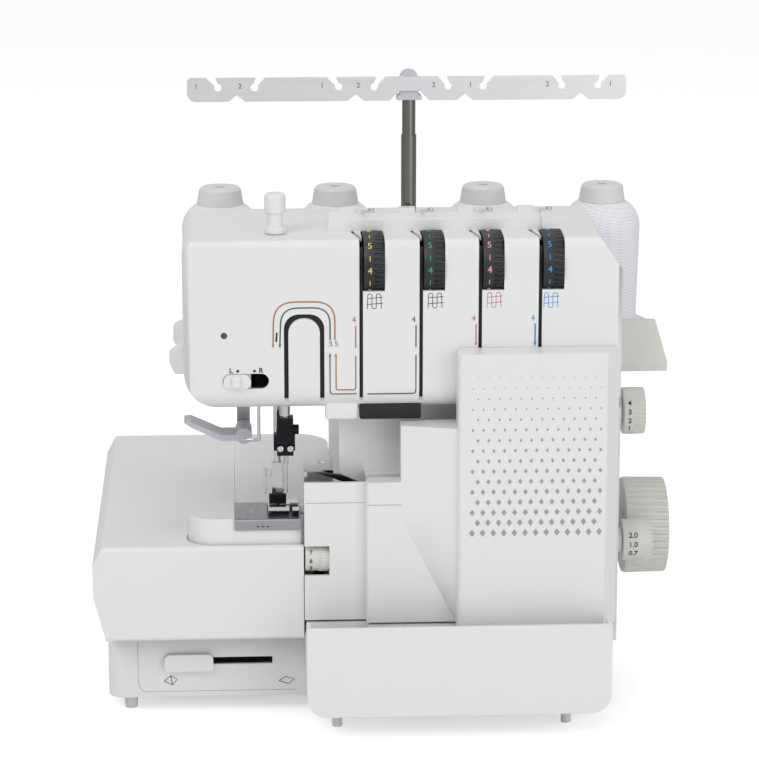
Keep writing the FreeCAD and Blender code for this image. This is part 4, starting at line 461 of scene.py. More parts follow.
# %% [markdown]
# A dial has a smooth half for its numbers and a ribbed half for the finger. Ribs could be added
# one by one round a plain wheel. It is simpler to start from a cylinder with two side faces per
# rib, cut it at the edge of the ribbed half with Bisect, and inset and push in every second face
# there, which leaves the ribs standing.

# %% A ribbed wheel
RIM_SHARE = 0.97
FLAT_END = 0.9
SIDEWAYS = 0.5
END_NEAR_MM = 0.05
GROOVE_MARGIN = 0.4
RIB_ROUND = 0.7
RIB_SEGMENTS = 2
RIB_ANGLE = 70
RIB_SMOOTH = 28


def pick_faces(piece, test):
    """Go into edit mode with only the faces selected that pass a test."""
    bpy.ops.object.mode_set(mode="EDIT")
    bpy.ops.mesh.select_mode(type="FACE")
    bpy.ops.mesh.select_all(action="DESELECT")
    bpy.ops.object.mode_set(mode="OBJECT")
    for face in piece.data.polygons:
        face.select = test(face)
    bpy.ops.object.mode_set(mode="EDIT")


def end_face_out(wheel, at_x, margin, length):
    """Inset one end face of a wheel to a smaller circle and push that circle along X."""
    pick_faces(wheel, lambda face: abs(face.normal.x) > FLAT_END
               and abs(face.center.x - at_x) < END_NEAR_MM * MM)
    bpy.ops.mesh.inset(thickness=margin)
    bpy.ops.mesh.extrude_region_move(TRANSFORM_OT_translate={"value": (length, 0, 0)})
    bpy.ops.object.mode_set(mode="OBJECT")


def ribbed_wheel(left, right, axis, radius, ribs, smooth_to, groove, ends=()):
    """A wheel on an axis along X, in metres, with its ribs to the right of smooth_to."""
    axis_y, axis_z = axis
    select_none()
    bpy.ops.mesh.primitive_cylinder_add(vertices=2 * ribs, radius=radius, depth=right - left,
                                        location=((left + right) / 2, axis_y, axis_z),
                                        rotation=(0, math.pi / 2, 0))
    wheel = settle()
    for at_x, margin, length in ends:
        end_face_out(wheel, at_x, margin, length)
    step = math.pi / ribs

    def is_side(face):
        reach = math.hypot(face.center.y - axis_y, face.center.z - axis_z)
        return reach > RIM_SHARE * radius and abs(face.normal.x) < SIDEWAYS

    def is_groove(face):
        angle = math.atan2(face.center.z - axis_z, face.center.y - axis_y)
        return is_side(face) and face.center.x > smooth_to and round(angle / step - 0.5) % 2 == 0

    pick_faces(wheel, is_side)
    bpy.ops.mesh.bisect(plane_co=(smooth_to, 0, 0), plane_no=(1, 0, 0))
    pick_faces(wheel, is_groove)
    bpy.ops.mesh.inset(thickness=groove * GROOVE_MARGIN, depth=-groove, use_individual=True)
    bpy.ops.object.mode_set(mode="OBJECT")
    rounded_edges(wheel, RIB_ROUND, RIB_SEGMENTS, RIB_ANGLE)
    smooth_shading(wheel, RIB_SMOOTH)
    return wheel


print("ribs are rounded by", RIB_ROUND, "mm")

# %% [markdown]
# The four tension dials stand in slots in the head. They are alike, so one is modelled at the place
# and size that the frame gives, and three copies are set into the other slots.

# %% Tension dials
DIALS = ["tension_dial_%d" % number for number in (1, 2, 3, 4)]
DIAL_RIBS = 36
DIAL_SMOOTH = 6.6
DIAL_GROOVE = 0.7
low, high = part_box(DIALS[0])
dial_axis = [(low[i] + high[i]) / 2 for i in (1, 2)]
dial_radius = (high[2] - low[2]) / 2
DIAL_SHIFTS = [(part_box(node)[0][0] - low[0], 0, 0) for node in DIALS]
wheel = ribbed_wheel(low[0], high[0], dial_axis, dial_radius, DIAL_RIBS, low[0] + DIAL_SMOOTH * MM,
                     DIAL_GROOVE * MM)
wheels = [wheel] + [shifted_copy(wheel, shift) for shift in DIAL_SHIFTS[1:]]
for node, wheel in zip(DIALS, wheels):
    hand_over(wheel, node + "_ribbed", black_abs, node, replaced=True)
print("dials", [wheel.name for wheel in wheels])

# %% [markdown]
# The two dials on the right side and the handwheel are made the same way. Each has a stub that
# runs into the casing. It could be a second cylinder, but then two shapes would overlap inside,
# so the inner end face is inset and drawn out instead. The handwheel's outer face is inset and
# pushed in to make its hollow. The width dial lies in a window of the cover and has no stub.

# %% Side dials and handwheel
LENGTH_DIAL_AXIS = (-75.0, 186.0)
LENGTH_DIAL_RADIUS = 14.35
FEED_DIAL_AXIS = (-85.0, 106.0)
FEED_DIAL_RADIUS = 12.8
HANDWHEEL_AXIS = (-40.0, 102.0)
HANDWHEEL_RADIUS = 30.0
HANDWHEEL_HOLLOW = (8.0, 6.0)
WIDTH_DIAL_AXIS = (-102.4, 103.4)
WIDTH_DIAL_RADIUS = 8.6
WIDTH_DIAL_SMOOTH = 8.2
WIDTH_DIAL_RIBS = 30
WIDTH_DIAL_GROOVE = 0.4
SIDE_FACE = 146.7
WHEEL_FACE = 152.4


def in_metres(values):
    """Turn a row of millimetres into metres."""
    return [value * MM for value in values]


def side_wheel(node, axis, radius, face, ribs, smooth, stub_radius, groove, hollow=None):
    """A wheel beside the casing whose stub reaches as far in as the solid does."""
    low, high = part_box(node)
    left = face * MM
    ends = [(left, radius * MM - stub_radius * MM, low[0] - left)]
    if hollow:
        rim, depth = in_metres(hollow)
        ends.append((high[0], rim, -depth))
    wheel = ribbed_wheel(left, high[0], in_metres(axis), radius * MM, ribs, left + smooth * MM,
                         groove * MM, ends)
    return hand_over(wheel, node + "_ribbed", warm_grey_abs, node, replaced=True)


side_wheel("stitch_length_dial", LENGTH_DIAL_AXIS, LENGTH_DIAL_RADIUS, SIDE_FACE, ribs=34, smooth=6.6,
           stub_radius=5, groove=0.5)
side_wheel("feed_dial", FEED_DIAL_AXIS, FEED_DIAL_RADIUS, SIDE_FACE, ribs=30, smooth=12.4,
           stub_radius=5, groove=0.5)
handwheel = side_wheel("handwheel", HANDWHEEL_AXIS, HANDWHEEL_RADIUS, WHEEL_FACE, ribs=40, smooth=1.5,
                       stub_radius=10, groove=0.9, hollow=HANDWHEEL_HOLLOW)
low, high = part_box("width_dial")
width_dial = ribbed_wheel(low[0], high[0], in_metres(WIDTH_DIAL_AXIS), WIDTH_DIAL_RADIUS * MM,
                          WIDTH_DIAL_RIBS, low[0] + WIDTH_DIAL_SMOOTH * MM, WIDTH_DIAL_GROOVE * MM)
hand_over(width_dial, "width_dial_ribbed", warm_grey_abs, "width_dial", replaced=True)
print("the handwheel has", len(handwheel.data.polygons), "faces")

# %% [markdown]
# The marks on the face are pad-printed: a soft pad lays ink of each thread's colour on the
# plastic. They could be an image on the shell, but thin lines need a very large one. Here each
# mark is a thin mesh that stands a hair above the plastic, so its edge stays sharp close up.
# Printing ink dries to a half-matt film that hardly shines.

# %% Inks
INK_ROUGHNESS = 0.45


def ink(name, hex_colour):
    """A plain film of ink."""
    return start_finish(name, hex_colour, INK_ROUGHNESS)[0]


brown_ink = ink("brown_pad_ink", "#A9713F")
green_ink = ink("green_pad_ink", "#1F6348")
pink_ink = ink("pink_pad_ink", "#C27388")
blue_ink = ink("blue_pad_ink", "#3C93D4")
yellow_ink = ink("yellow_pad_ink", "#E8C63A")
black_ink = ink("black_pad_ink", "#2B2C2F")
grey_ink = ink("grey_pad_ink", "#9EA1A8")
print("finishes with the inks:", len(bpy.data.materials))

# %% [markdown]
# A line of ink starts as one point that is extruded along its route. It is turned into a curve,
# which gives it a round section, and back into a mesh. The route follows the front of the head,
# which is flat above and turns under in a round at its foot.

# %% A line of ink
FACE_Y = -114.0
FACE_TURN_Z = 212.5
FACE_ROUND = 14.0
CURVE_STEPS = 6
LINE_SUNK = 0.2


def face_y(z):
    """The depth of the head's front at a height."""
    drop = max(FACE_TURN_Z - z, 0.0)
    return FACE_Y + FACE_ROUND - math.sqrt(FACE_ROUND ** 2 - drop ** 2)


def rounded(points, radius):
    """Replace the corners of a route by short curves."""
    route = [points[0]]
    for before, corner, after in zip(points, points[1:], points[2:]):
        corner = Vector(corner)
        ends = []
        for other in (before, after):
            arm = Vector(other) - corner
            ends.append(corner + arm * min(radius / arm.length, 0.5))
        for i in range(CURVE_STEPS + 1):
            t = i / CURVE_STEPS
            route.append(tuple(ends[0] * (1 - t) ** 2 + corner * 2 * t * (1 - t) + ends[1] * t ** 2))
    return route + [points[-1]]


def printed_line(route, width, depth=face_y):
    """A line along a route of X and Z, partly sunk into the surface at the given depth."""
    places = [Vector((x, depth(z) + LINE_SUNK * width, z)) * MM for x, z in route]
    select_none()
    bpy.ops.mesh.primitive_plane_add(size=MM, location=(0, 0, 0))
    bpy.ops.object.mode_set(mode="EDIT")
    bpy.ops.mesh.select_mode(type="VERT")
    bpy.ops.mesh.select_all(action="SELECT")
    bpy.ops.mesh.merge(type="CENTER")
    bpy.ops.transform.translate(value=places[0])
    for here, there in zip(places, places[1:]):
        bpy.ops.mesh.extrude_vertices_move(TRANSFORM_OT_translate={"value": there - here})
    bpy.ops.object.mode_set(mode="OBJECT")
    bpy.ops.object.convert(target="CURVE")
    stroke = bpy.context.object.data
    stroke.bevel_depth = width / 2 * MM
    stroke.bevel_resolution = 1
    stroke.use_fill_caps = True
    bpy.ops.object.convert(target="MESH")
    return settle()


print("the face lies at", FACE_Y, "mm")

# %% [markdown]
# Arrows and numbers complete the printing. An arrow is a cylinder with three sides, stretched in
# edit mode. A number is a text object that is given a little depth and made a mesh, because the
# export takes meshes only.

# %% Arrows and numbers
ARROW_SIZE = 2.2
ARROW_DEPTH = 0.5
ARROW_SUNK = 0.05
ARROW_STRETCH = (0.8, 1.0, 1.3)
LETTER_DEPTH = 0.12


def arrow(x, z, up, size=ARROW_SIZE):
    """An arrowhead on the face that points up or down."""
    select_none()
    bpy.ops.mesh.primitive_cylinder_add(vertices=3, radius=size / 2 * MM, depth=ARROW_DEPTH * MM,
                                        location=(x * MM, (face_y(z) + ARROW_SUNK) * MM, z * MM),
                                        rotation=(math.pi / 2, 0 if up else math.pi, 0))
    bpy.ops.object.mode_set(mode="EDIT")
    bpy.ops.mesh.select_all(action="SELECT")
    bpy.ops.transform.resize(value=ARROW_STRETCH)
    return settle()


def label(words, size, x, y, z, lean=0.0, bold=0.0):
    """Words centred on a point and facing front, leaned back by an angle."""
    select_none()
    bpy.ops.object.text_add(location=(x * MM, y * MM, z * MM), rotation=(math.pi / 2 - lean, 0, 0))
    letters = bpy.context.object.data
    letters.body = words
    letters.size = size * MM
    letters.extrude = LETTER_DEPTH * MM
    letters.offset = bold * MM
    letters.align_x = "CENTER"
    letters.align_y = "CENTER"
    bpy.ops.object.convert(target="MESH")
    return settle()


print("letters stand", LETTER_DEPTH, "mm proud")

# %% [markdown]
# Four threads run up and down the face. Each route shows where its thread goes, with an arrow at its
# end and a number for the order of threading. The strokes of one colour are joined, because one
# pass of the pad prints them together.

# %% Threading guide
LINE = 1.0
BROAD_LINE = 1.2
BROAD_ARROW = 3.0
DIAL_NUMBER = 5.0
ARCH_NUMBER = 4.6
ROUTES = {
    "brown_route": (brown_ink, [
        printed_line(rounded([(-68.2, 239.5), (-67.6, 265.6), (-31.3, 265.6), (-31.3, 242.2)], 12.5), LINE),
        arrow(-68.2, 238.8, False),
        printed_line(rounded([(-30.7, 232), (-30.7, 211.4), (-18.9, 211.4), (-18.9, 232.3)], 1.5), LINE),
        arrow(-30.7, 232.8, True),
        printed_line([(-18.9, 237.3), (-18.9, 250.7)], LINE),
        label("5", ARCH_NUMBER, -30.4, FACE_Y, 239.7),
        label("4", DIAL_NUMBER, -19.9, FACE_Y, 254.2)]),
    "green_route": (green_ink, [
        printed_line(rounded([(-64.1, 239.5), (-63.4, 261.9), (-34.2, 261.9), (-34.2, 242.2)], 10.0), LINE),
        arrow(-64.1, 238.8, False),
        printed_line(rounded([(-34.3, 232), (-34.3, 208.8), (-18.3, 208.8)], 2.0), LINE),
        arrow(-34.3, 232.9, True),
        printed_line(rounded([(-11.9, 208.6), (17.1, 208.6), (17.1, 232.3)], 2.0), LINE),
        printed_line([(17.1, 237.3), (17.1, 250.7)], LINE),
        label("5", ARCH_NUMBER, -33.8, FACE_Y, 239.7),
        label("4", DIAL_NUMBER, 15.7, FACE_Y, 254.0)]),
    "pink_route": (pink_ink, [
        printed_line([(53.0, 250.9), (53.0, 239.5)], LINE),
        arrow(53.0, 238.8, False),
        label("4", DIAL_NUMBER, 51.5, FACE_Y, 254.4)]),
    "blue_route": (blue_ink, [
        printed_line([(88.4, 250.9), (88.4, 239.5)], BROAD_LINE),
        arrow(88.4, 238.6, False, BROAD_ARROW),
        label("4", DIAL_NUMBER, 87.0, FACE_Y, 254.2)]),
}
for name, (colour, strokes) in ROUTES.items():
    hand_over(join_all(strokes), name, colour, "head_casing")
print("routes", list(ROUTES))

# %% [markdown]
# Under each dial stands a sign for the seam that its thread makes. It is a plain loop pattern: an
# up-and-down line crossed by two others. It is drawn once and copied to the other dials.

# %% Seam signs
FINE_LINE = 0.5
LOOP = [(0, 0), (0.4, 9), (2.8, 9), (2.8, 0), (5.4, 0), (5.4, 9), (8.0, 9), (8.4, 0)]
LOOP_ROUND = 1.2
CROSSING_HEIGHTS = (2.6, 6.2)
CROSSING_LEFT = 0.3
CROSSING_RIGHT = 9.2
CROSSING_RISE = 0.7
SIGN_PLACES = [(-12.0, 261.0), (24.2, 261.0), (59.4, 261.0), (93.4, 260.5)]
SIGN_INKS = [black_ink, black_ink, pink_ink, blue_ink]


def seam_sign(left, foot):
    """A looped line and the two lines that cross it."""
    strokes = [printed_line(rounded([(left + x, foot + z) for x, z in LOOP], LOOP_ROUND), FINE_LINE)]
    for height in CROSSING_HEIGHTS:
        strokes.append(printed_line([(left + CROSSING_LEFT, foot + height),
                                     (left + CROSSING_RIGHT, foot + height + CROSSING_RISE)], FINE_LINE))
    return join_all(strokes)


sign_left, sign_foot = SIGN_PLACES[0]
sign = seam_sign(sign_left, sign_foot)
seam_signs = [sign] + [shifted_copy(sign, ((left - sign_left) * MM, 0, (foot - sign_foot) * MM))
                       for left, foot in SIGN_PLACES[1:]]
for number, (sign, colour) in enumerate(zip(seam_signs, SIGN_INKS), 1):
    hand_over(sign, "seam_sign_%d" % number, colour, "head_casing")
print("seam signs", len(seam_signs))

# %% [markdown]
# Above the needle position switch stand an L and an R for the left and the right needle, with a
# dot for each place of the switch, and a short stroke stands beside the arch.

# %% Switch marks
LETTER_SIZE = 4.2
LETTER_HEIGHT = 223.9
LETTER_BOLD = 0.1
DOT_SIZE = 7.0
DOT_HEIGHT = 223.4
START_LINE = 1.3
marks = [label("L", LETTER_SIZE, -93.4, FACE_Y, LETTER_HEIGHT, bold=LETTER_BOLD),
         label("R", LETTER_SIZE, -75.5, FACE_Y, LETTER_HEIGHT, bold=LETTER_BOLD),
         label("•", DOT_SIZE, -89.4, FACE_Y, DOT_HEIGHT),
         label("•", DOT_SIZE, -79.4, FACE_Y, DOT_HEIGHT),
         printed_line([(-66.3, 241.4), (-65.9, 247)], START_LINE)]
hand_over(join_all(marks), "face_marks", black_ink, "head_casing")
print("marks on the face", len(marks))

# %% [markdown]
# Each dial carries numbers on its smooth half, so that a setting can be found again. Text could be
# bent along a curve, but a short number only has to lean by its own angle to lie on the wheel. The
# tension dials have eight all round with a dash between neighbours; one set is made and copied.

# %% Dial numbers
NUMBER_LIFT = 0.12
TENSION_AXIS = (-97.0, 285.0)
TENSION_RADIUS = 19.5
TENSION_NUMBERS_X = 3.7
TENSION_NUMBER = 5.8
TENSION_DASH = 3.4
TENSION_STEP = 45
SIDE_NUMBER = 4.6
LENGTH_NUMBERS_X = 150.0
FEED_NUMBERS_X = 152.6
WIDTH_NUMBER = 3.6
WIDTH_NUMBERS_X = -46.2
TENSION_INKS = [yellow_ink, ink("light_green_pad_ink", "#2FA06A"), ink("light_pink_pad_ink", "#E3A3B8"),
                blue_ink]


def round_wheel(words, size, x, axis, radius, first, step, bold):
    """Words round a wheel, from a first angle in degrees above the front and on by steps."""
    reach = radius + NUMBER_LIFT
    strokes = []
    for i, word in enumerate(words):
        lean = math.radians(first + step * i)
        y = axis[0] - reach * math.cos(lean)
        z = axis[1] + reach * math.sin(lean)
        strokes.append(label(word, size, x, y, z, lean, bold))
    return strokes


numbers_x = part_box(DIALS[0])[0][0] / MM + TENSION_NUMBERS_X
strokes = round_wheel("45670123", TENSION_NUMBER, numbers_x, TENSION_AXIS, TENSION_RADIUS,
                      first=-2, step=TENSION_STEP, bold=0.02)
strokes += round_wheel("|" * 8, TENSION_DASH, numbers_x, TENSION_AXIS, TENSION_RADIUS,
                       first=20.5, step=TENSION_STEP, bold=0.12)
numbers = join_all(strokes)
number_sets = [numbers] + [shifted_copy(numbers, shift) for shift in DIAL_SHIFTS[1:]]
for number, (numbers, colour) in enumerate(zip(number_sets, TENSION_INKS), 1):
    hand_over(numbers, "tension_numbers_%d" % number, colour, "tension_dial_%d" % number)

strokes = round_wheel("1234", SIDE_NUMBER, LENGTH_NUMBERS_X, LENGTH_DIAL_AXIS, LENGTH_DIAL_RADIUS,
                      first=-34, step=22, bold=0.05)
hand_over(join_all(strokes), "length_numbers", black_ink, "stitch_length_dial")
strokes = round_wheel(["0.7", "1.0", "2.0"], SIDE_NUMBER, FEED_NUMBERS_X, FEED_DIAL_AXIS,
                      FEED_DIAL_RADIUS, first=-24, step=26, bold=0.03)
hand_over(join_all(strokes), "feed_numbers", black_ink, "feed_dial")
strokes = round_wheel("567", WIDTH_NUMBER, WIDTH_NUMBERS_X, WIDTH_DIAL_AXIS, WIDTH_DIAL_RADIUS,
                      first=-34, step=34, bold=0.05)
hand_over(join_all(strokes), "width_numbers", black_ink, "width_dial")
print("numbers on", len(number_sets), "tension dials and 3 others")

# %% [markdown]
# The looper cover is printed with a field of small grey diamonds in straight staggered rows that
# get smaller towards the top. They could be a pattern in the cover's finish, but as meshes they
# keep sharp points. One diamond is made for each row, an Array modifier repeats it along the row,
# and the rows are joined.

# %% Printed field on the cover
COVER_FRONT = -132.0
FIELD_LEFT = 50.0
FIELD_RIGHT = 130.0
FIELD_FOOT = 126.0
FIELD_TOP = 222.0
PITCH = 6.4
DIAMOND_REACH = 2.3
DIAMOND_SHRINK = 0.055
DIAMOND_NARROW = (0.75, 1.0, 1.0)
DIAMOND_DEPTH = 0.3
rows = []
for row in range(int((FIELD_TOP - FIELD_FOOT) / PITCH) + 1):
    reach = DIAMOND_REACH * (1 - DIAMOND_SHRINK * row)
    left = FIELD_LEFT + (PITCH / 2 if row % 2 else 0.0)
    height = FIELD_FOOT + PITCH * row
    select_none()
    bpy.ops.mesh.primitive_cylinder_add(vertices=4, radius=reach * MM, depth=DIAMOND_DEPTH * MM,
                                        rotation=(math.pi / 2, 0, 0),
                                        location=(left * MM, COVER_FRONT * MM, height * MM))
    bpy.ops.object.mode_set(mode="EDIT")
    bpy.ops.mesh.select_all(action="SELECT")
    bpy.ops.transform.resize(value=DIAMOND_NARROW)
    diamond = settle()
    in_row = int((FIELD_RIGHT - left) / PITCH) + 1
    apply_modifier(diamond, "ARRAY", count=in_row, use_relative_offset=False, use_constant_offset=True,
                   constant_offset_displace=(PITCH * MM, 0, 0))
    rows.append(diamond)
hand_over(join_all(rows), "cover_pattern", grey_ink, "looper_cover")
print("rows of diamonds", len(rows))

# %% [markdown]
# Small pieces finish the head: the white tongue that carries the threads round under the face, the
# near-black strip of painted shade beside it and the switch's thumb grip. A thin grey sheet fills the seam
# between the bed and the lift-off table, painted shade for the dark gap there. All are boxes with round
# edges, so each is a cube that is bevelled.

# %% Tongue, strip, grip and seam shade
BLOCK_SEGMENTS = 4


def bevelled_block(low_mm, high_mm, radius_mm):
    """A block between two corners with its edges rounded."""
    select_none()
    centre = [(a + b) / 2 * MM for a, b in zip(low_mm, high_mm)]
    bpy.ops.mesh.primitive_cube_add(size=1, location=centre,
                                    scale=[(b - a) * MM for a, b in zip(low_mm, high_mm)])
    block = settle()
    rounded_edges(block, radius_mm, BLOCK_SEGMENTS, SHARP_ANGLE)
    smooth_shading(block, SMOOTH_ANGLE)
    return block


thumb = bevelled_block((-93.0, -118.6, 213.9), (-87.6, -115.2, 220.9), 1.2)
hand_over(thumb, "switch_thumb", white_abs, "stitch_switch")
# Painted shade: a grey sheet in the gap between bed and table, where the gap is dark.
seam_shade_sheet = bevelled_block((-92.2, -68.0, 104.0), (-91.9, 148.0, 112.3), 0.1)
hand_over(seam_shade_sheet, "bed_seam_shade", inner_grey, "bed_plate")
tongue = bevelled_block((-37.2, -109.5, 191.3), (-17.2, -100, 203.0), 2.2)
hand_over(tongue, "thread_tongue", white_abs, "head_casing")
# The strip takes the slots' near-black painted shade.
strip = bevelled_block((-16.4, -109, 191.5), (20.6, -101, 201.5), 1.2)
hand_over(strip, "thread_strip", slot_shade_black, "slot_liners")
print("blocks", [block.name for block in (thumb, seam_shade_sheet, tongue, strip)])

# %% [markdown]
# A pilot lamp shows that the machine is switched on. Its lens is a small round of smoked acrylic
# with a broken edge: a short cylinder with a Bevel modifier. It looks like a dark glossy dot.

# %% Pilot lamp
LAMP_X = -97.3
LAMP_Z = 245.4
LENS_RADIUS = 1.9
LENS_DEPTH = 1.2
LENS_ROUND = 0.4
ACRYLIC_IOR = 1.49
select_none()
bpy.ops.mesh.primitive_cylinder_add(vertices=32, radius=LENS_RADIUS * MM, depth=LENS_DEPTH * MM,
                                    rotation=(math.pi / 2, 0, 0),
                                    location=(LAMP_X * MM, FACE_Y * MM, LAMP_Z * MM))
lamp_lens = settle()
rounded_edges(lamp_lens, LENS_ROUND, segments=3, sharper_than=60)
smooth_shading(lamp_lens, up_to=40)
smoked_acrylic = start_finish("smoked_lamp_lens", "#4A4B4F", 0.2, IOR=ACRYLIC_IOR)[0]
hand_over(lamp_lens, "lamp_lens", smoked_acrylic, "head_casing")
print("lens", len(lamp_lens.data.polygons), "faces")

# %% [markdown]
# Slotted screws hold the needles in their clamp and the head of the thread tree. A slot could be
# extruded from a divided face. A Boolean is used because it cuts the slot at any angle: a turned
# blank gets a round edge from a Bevel modifier, and a thin cube is taken out of it.

# %% Slotted screws
HEAD_DEPTH = 1.6
HEAD_SUNK = 0.2
HEAD_ROUND = 0.25
BLADE_DEPTH = 1.0
BLADE_LENGTH = 3.0
BLADE_WIDTH = 0.3


def slotted_screw(x, y, z, radius, turn):
    """A screw head that faces front at a point, with its slot turned by an angle in degrees."""
    select_none()
    bpy.ops.mesh.primitive_cube_add(size=1, location=(x * MM, (y - BLADE_DEPTH) * MM, z * MM),
                                    rotation=(0, math.radians(turn), 0),
                                    scale=(BLADE_LENGTH * radius * MM, BLADE_DEPTH * MM,
                                           BLADE_WIDTH * radius * MM))
    blade = settle()
    select_none()
    bpy.ops.mesh.primitive_cylinder_add(vertices=40, radius=radius * MM, depth=HEAD_DEPTH * MM,
                                        rotation=(math.pi / 2, 0, 0),
                                        location=(x * MM, (y - HEAD_SUNK) * MM, z * MM))
    screw = settle()
    rounded_edges(screw, HEAD_ROUND, segments=2, sharper_than=60)
    apply_modifier(screw, "BOOLEAN", operation="DIFFERENCE", object=blade, solver="EXACT")
    smooth_shading(screw, up_to=35)
    bpy.data.objects.remove(blade)
    return screw


def box_mm(node):
    """The low and the high corner of a solid's box in millimetres."""
    low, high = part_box(node)
    return [value / MM for value in low], [value / MM for value in high]


CLAMP_SCREWS = ((-64.0, 35), (-58.0, -50))
CLAMP_SCREW_RISE = 5.0
CLAMP_SCREW_RADIUS = 1.9
TREE_SCREW_ASIDE = 1.0
TREE_SCREW_DROP = 6.5
TREE_SCREW_RADIUS = 1.6
TREE_SCREW_TURN = 20
low, high = box_mm("needle_clamp")
screws = [slotted_screw(x, low[1], low[2] + CLAMP_SCREW_RISE, CLAMP_SCREW_RADIUS, turn)
          for x, turn in CLAMP_SCREWS]
hand_over(join_all(screws), "clamp_screws", polished_steel, "needle_clamp")
low, high = box_mm("tree_head")
screw = slotted_screw((low[0] + high[0]) / 2 + TREE_SCREW_ASIDE, low[1], high[2] - TREE_SCREW_DROP,
                      TREE_SCREW_RADIUS, TREE_SCREW_TURN)
hand_over(screw, "tree_screw", polished_steel, "tree_head")
print("screws on the clamp", len(screws))

# %% [markdown]
# The bar of the thread tree is stamped with a 1 or a 2 beside each notch. A stamp leaves a shallow dent
# that lies in shade. A Boolean would break up the bar's flat face, so a dark film of painted shade stands
# for it.

# %% Stamped numbers
STAMP_SIZE = 4.2
STAMP_DROP = 5.2
STAMP_BOLD = 0.05
STAMPS = (("1", -112), ("2", -86), ("1", -37), ("2", -15.5),
          ("2", 29.5), ("1", 51.5), ("2", 97.5), ("1", 135.5))
low, high = box_mm("tree_bar")
stamped = [label(word, STAMP_SIZE, x, low[1], high[2] - STAMP_DROP, bold=STAMP_BOLD) for word, x in STAMPS]
# Painted shade: the dark film stands for the shade in each stamped dent.
hand_over(join_all(stamped), "bar_numbers", ink("stamped_dent_shade", "#6F7175"), "tree_bar")
print("stamped", len(stamped), "numbers")

# %% [markdown]
# A front panel closes the base. Its joint shows as a fine shadow line, and two small signs mark the ends of
# the slider's way. The needle plate has three short marks, and grey lines of painted shade stand for the
# fine creases that run across the lower parts of the cover. All are thin lines on a flat front, so the same
# function draws them.

# %% Seams and small signs
BASE_FRONT = -92.0
PLATE_FRONT = -106.5
LOW_COVER_FRONT = -112.0
MID_COVER_FRONT = -119.0
SIGN_LINE = 0.6
PANEL_ROUND = 2.0
PLATE_LINE = 0.9
PLATE_MARKS = (-79, -76, -73)
PLATE_MARK_LENGTH = 1.6
PLATE_MARK_Z = 124.4


def base_front(z):
    """The base's front lies at one depth at every height."""
    return BASE_FRONT


painted_shadow_grey = ink("shadow_line_grey", "#A9AAAC")
panel_edge = rounded([(-153, 46.5), (-153, 18.5), (-150, 14.2), (-56, 14.2)], PANEL_ROUND)
hand_over(printed_line(panel_edge, FINE_LINE, base_front), "panel_seam", painted_shadow_grey, "base_frame")
left_sign = [(-137, 21), (-133, 24.5), (-129, 22), (-132, 18.5), (-137, 21)]
left_fold = [(-133, 24.5), (-132, 18.5)]
right_sign = [(-66, 20), (-62, 22.6), (-56.5, 21), (-60, 18), (-66, 20)]
signs = [printed_line(route, SIGN_LINE, base_front) for route in (left_sign, left_fold, right_sign)]
hand_over(join_all(signs), "base_signs", black_ink, "base_frame")
notches = [printed_line([(x, PLATE_MARK_Z), (x + PLATE_MARK_LENGTH, PLATE_MARK_Z)], PLATE_LINE,
                        lambda z: PLATE_FRONT) for x in PLATE_MARKS]
hand_over(join_all(notches), "plate_mark", black_ink, "needle_plate")
# Painted shade: grey lines where the cover's creases are shaded.
crease_shades = [printed_line([(-49.6, 140.3), (-13.4, 140.3)], FINE_LINE, lambda z: LOW_COVER_FRONT),
           printed_line([(-12.2, 140.6), (17.0, 140.6)], FINE_LINE, lambda z: MID_COVER_FRONT)]
hand_over(join_all(crease_shades), "cover_crease_shades", painted_shadow_grey, "looper_cover")
print("signs", len(signs), "plate marks", len(notches), "crease_shades", len(crease_shades))

# %% [markdown]
# The presser foot is a plain steel sole with blackened pads. They are small machined blocks, so the
# bevelled block from above makes them too, and they ride on the foot.

# %% Pads on the presser foot
PAD_ROUND = 0.5
PADS = [((-70.6, -101.8, 132.0), (-66.4, -97.0, 136.4)),
        ((-58.4, -101.8, 132.0), (-53.6, -95.0, 136.0)),
        ((-71.0, -84.5, 132.0), (-60.5, -82.4, 138.5))]
pads = [bevelled_block(low_mm, high_mm, PAD_ROUND) for low_mm, high_mm in PADS]
hand_over(join_all(pads), "foot_pads", black_oxide, "presser_foot")
print("pads", len(pads))

# %% [markdown]
# The photograph was taken from about 1.9 m with a long lens, a little to the left and 14 degrees
# above the machine. The camera could be set by eye. Here its place is worked out from the angles,
# because then the picture can be laid over the photograph.

# %% Camera
AIM = Vector((0.0, -0.022, 0.1942))
DISTANCE = 1.89
AZIMUTH = math.radians(-2.93)
ELEVATION = math.radians(14.2)
FOCAL_PIXELS = 3000
FRAME_PIXELS = 759
SENSOR_MM = 36.0
FAR_CLIP = 50
level = math.cos(ELEVATION)
back = Vector((math.sin(AZIMUTH) * level, -math.cos(AZIMUTH) * level, math.sin(ELEVATION)))
lens = bpy.data.cameras.new("studio_camera")
lens.sensor_width = SENSOR_MM
lens.lens = SENSOR_MM * FOCAL_PIXELS / FRAME_PIXELS
lens.clip_end = FAR_CLIP
camera = bpy.data.objects.new("studio_camera", lens)
bpy.context.scene.collection.objects.link(camera)
camera.location = AIM + back * DISTANCE
camera.rotation_euler = back.to_track_quat("Z", "Y").to_euler()
bpy.context.scene.camera = camera
print("camera at", [round(value, 3) for value in camera.location])

# %% [markdown]
# A white machine in a white studio needs large soft lamps, or its faces burn out. The key lamp
# stands high on the left, a weaker one fills the right side, and a third lights the top from behind.

# %% Lamps
def soft_lamp(name, place_m, size_m, watts):
    """A square lamp that faces the machine."""
    light = bpy.data.lights.new(name, "AREA")
    light.size = size_m
    light.energy = watts
    lamp = bpy.data.objects.new(name, light)
    bpy.context.scene.collection.objects.link(lamp)
    lamp.location = place_m
    lamp.rotation_euler = (Vector(place_m) - AIM).to_track_quat("Z", "Y").to_euler()


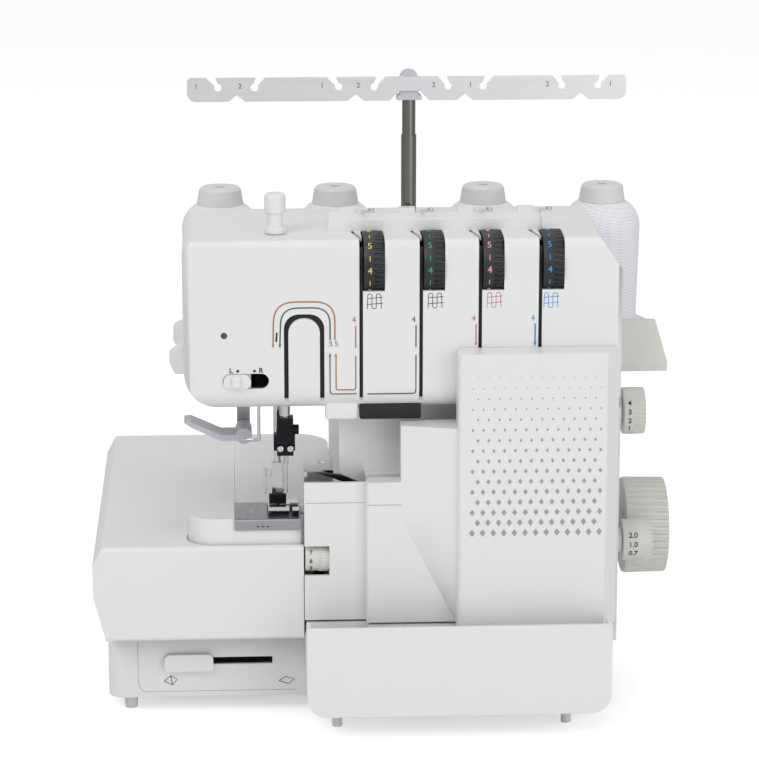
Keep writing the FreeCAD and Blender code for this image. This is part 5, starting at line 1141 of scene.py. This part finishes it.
soft_lamp("key_lamp", (-1.1, -1.5, 1.9), size_m=1.4, watts=19)
soft_lamp("fill_lamp", (1.2, -1.9, 0.7), size_m=1.6, watts=13)
soft_lamp("top_lamp", (0.1, 0.4, 2.1), size_m=1.6, watts=7)
print("lamps", len(bpy.data.lights))

# %% [markdown]
# The floor is matt white paper. Lit by the lamps alone it would look grey, so it glows a little,
# but only towards the camera: a Light Path node keeps that glow off the machine.

# %% Floor
FLOOR_SIZE = 8.0
FLOOR_GLOW = 0.5
select_none()
bpy.ops.mesh.primitive_plane_add(size=FLOOR_SIZE, location=(0, 0, cad_box[0][2]))
floor = bpy.context.object
floor.name = "studio_floor"
paper, paper_tree, paper_shader = start_finish("matt_white_floor", "#F4F4F4", 0.9,
                                               Emission_Color=linear("#FFFFFF"))
paper_sight = add_node(paper_tree, "ShaderNodeLightPath")
paper_glow = add_node(paper_tree, "ShaderNodeMath", {"operation": "MULTIPLY", 1: FLOOR_GLOW},
                      {0: paper_sight.outputs["Is Camera Ray"]})
paper_tree.links.new(paper_glow.outputs["Value"], paper_shader.inputs["Emission Strength"])
floor.data.materials.append(paper)
print("floor at", round(floor.location.z, 4), "m")

# %% [markdown]
# The room is white all round. At full strength it would wash out every shadow, so a Light Path
# node lets the camera see it white, gives reflections in metal a brighter room, and keeps the
# light that falls on the machine lower.

# %% Room
ROOM_LIGHT = 0.45
ROOM_SEEN = 1.0
ROOM_IN_METAL = 0.3
world = bpy.data.worlds.new("white_studio")
bpy.context.scene.world = world
world.use_nodes = True
sky = world.node_tree
background = sky.nodes["Background"]
background.inputs["Color"].default_value = linear("#FFFFFF")
sight = add_node(sky, "ShaderNodeLightPath")
seen = add_node(sky, "ShaderNodeMapRange", {"To Min": ROOM_LIGHT, "To Max": ROOM_SEEN},
                {"Value": sight.outputs["Is Camera Ray"]})
strength = add_node(sky, "ShaderNodeMath", {"operation": "MULTIPLY_ADD", 1: ROOM_IN_METAL},
                    {0: sight.outputs["Is Glossy Ray"], 2: seen.outputs["Result"]})
sky.links.new(strength.outputs["Value"], background.inputs["Strength"])
bpy.context.scene.view_settings.view_transform = "Standard"
print("room light", ROOM_LIGHT)
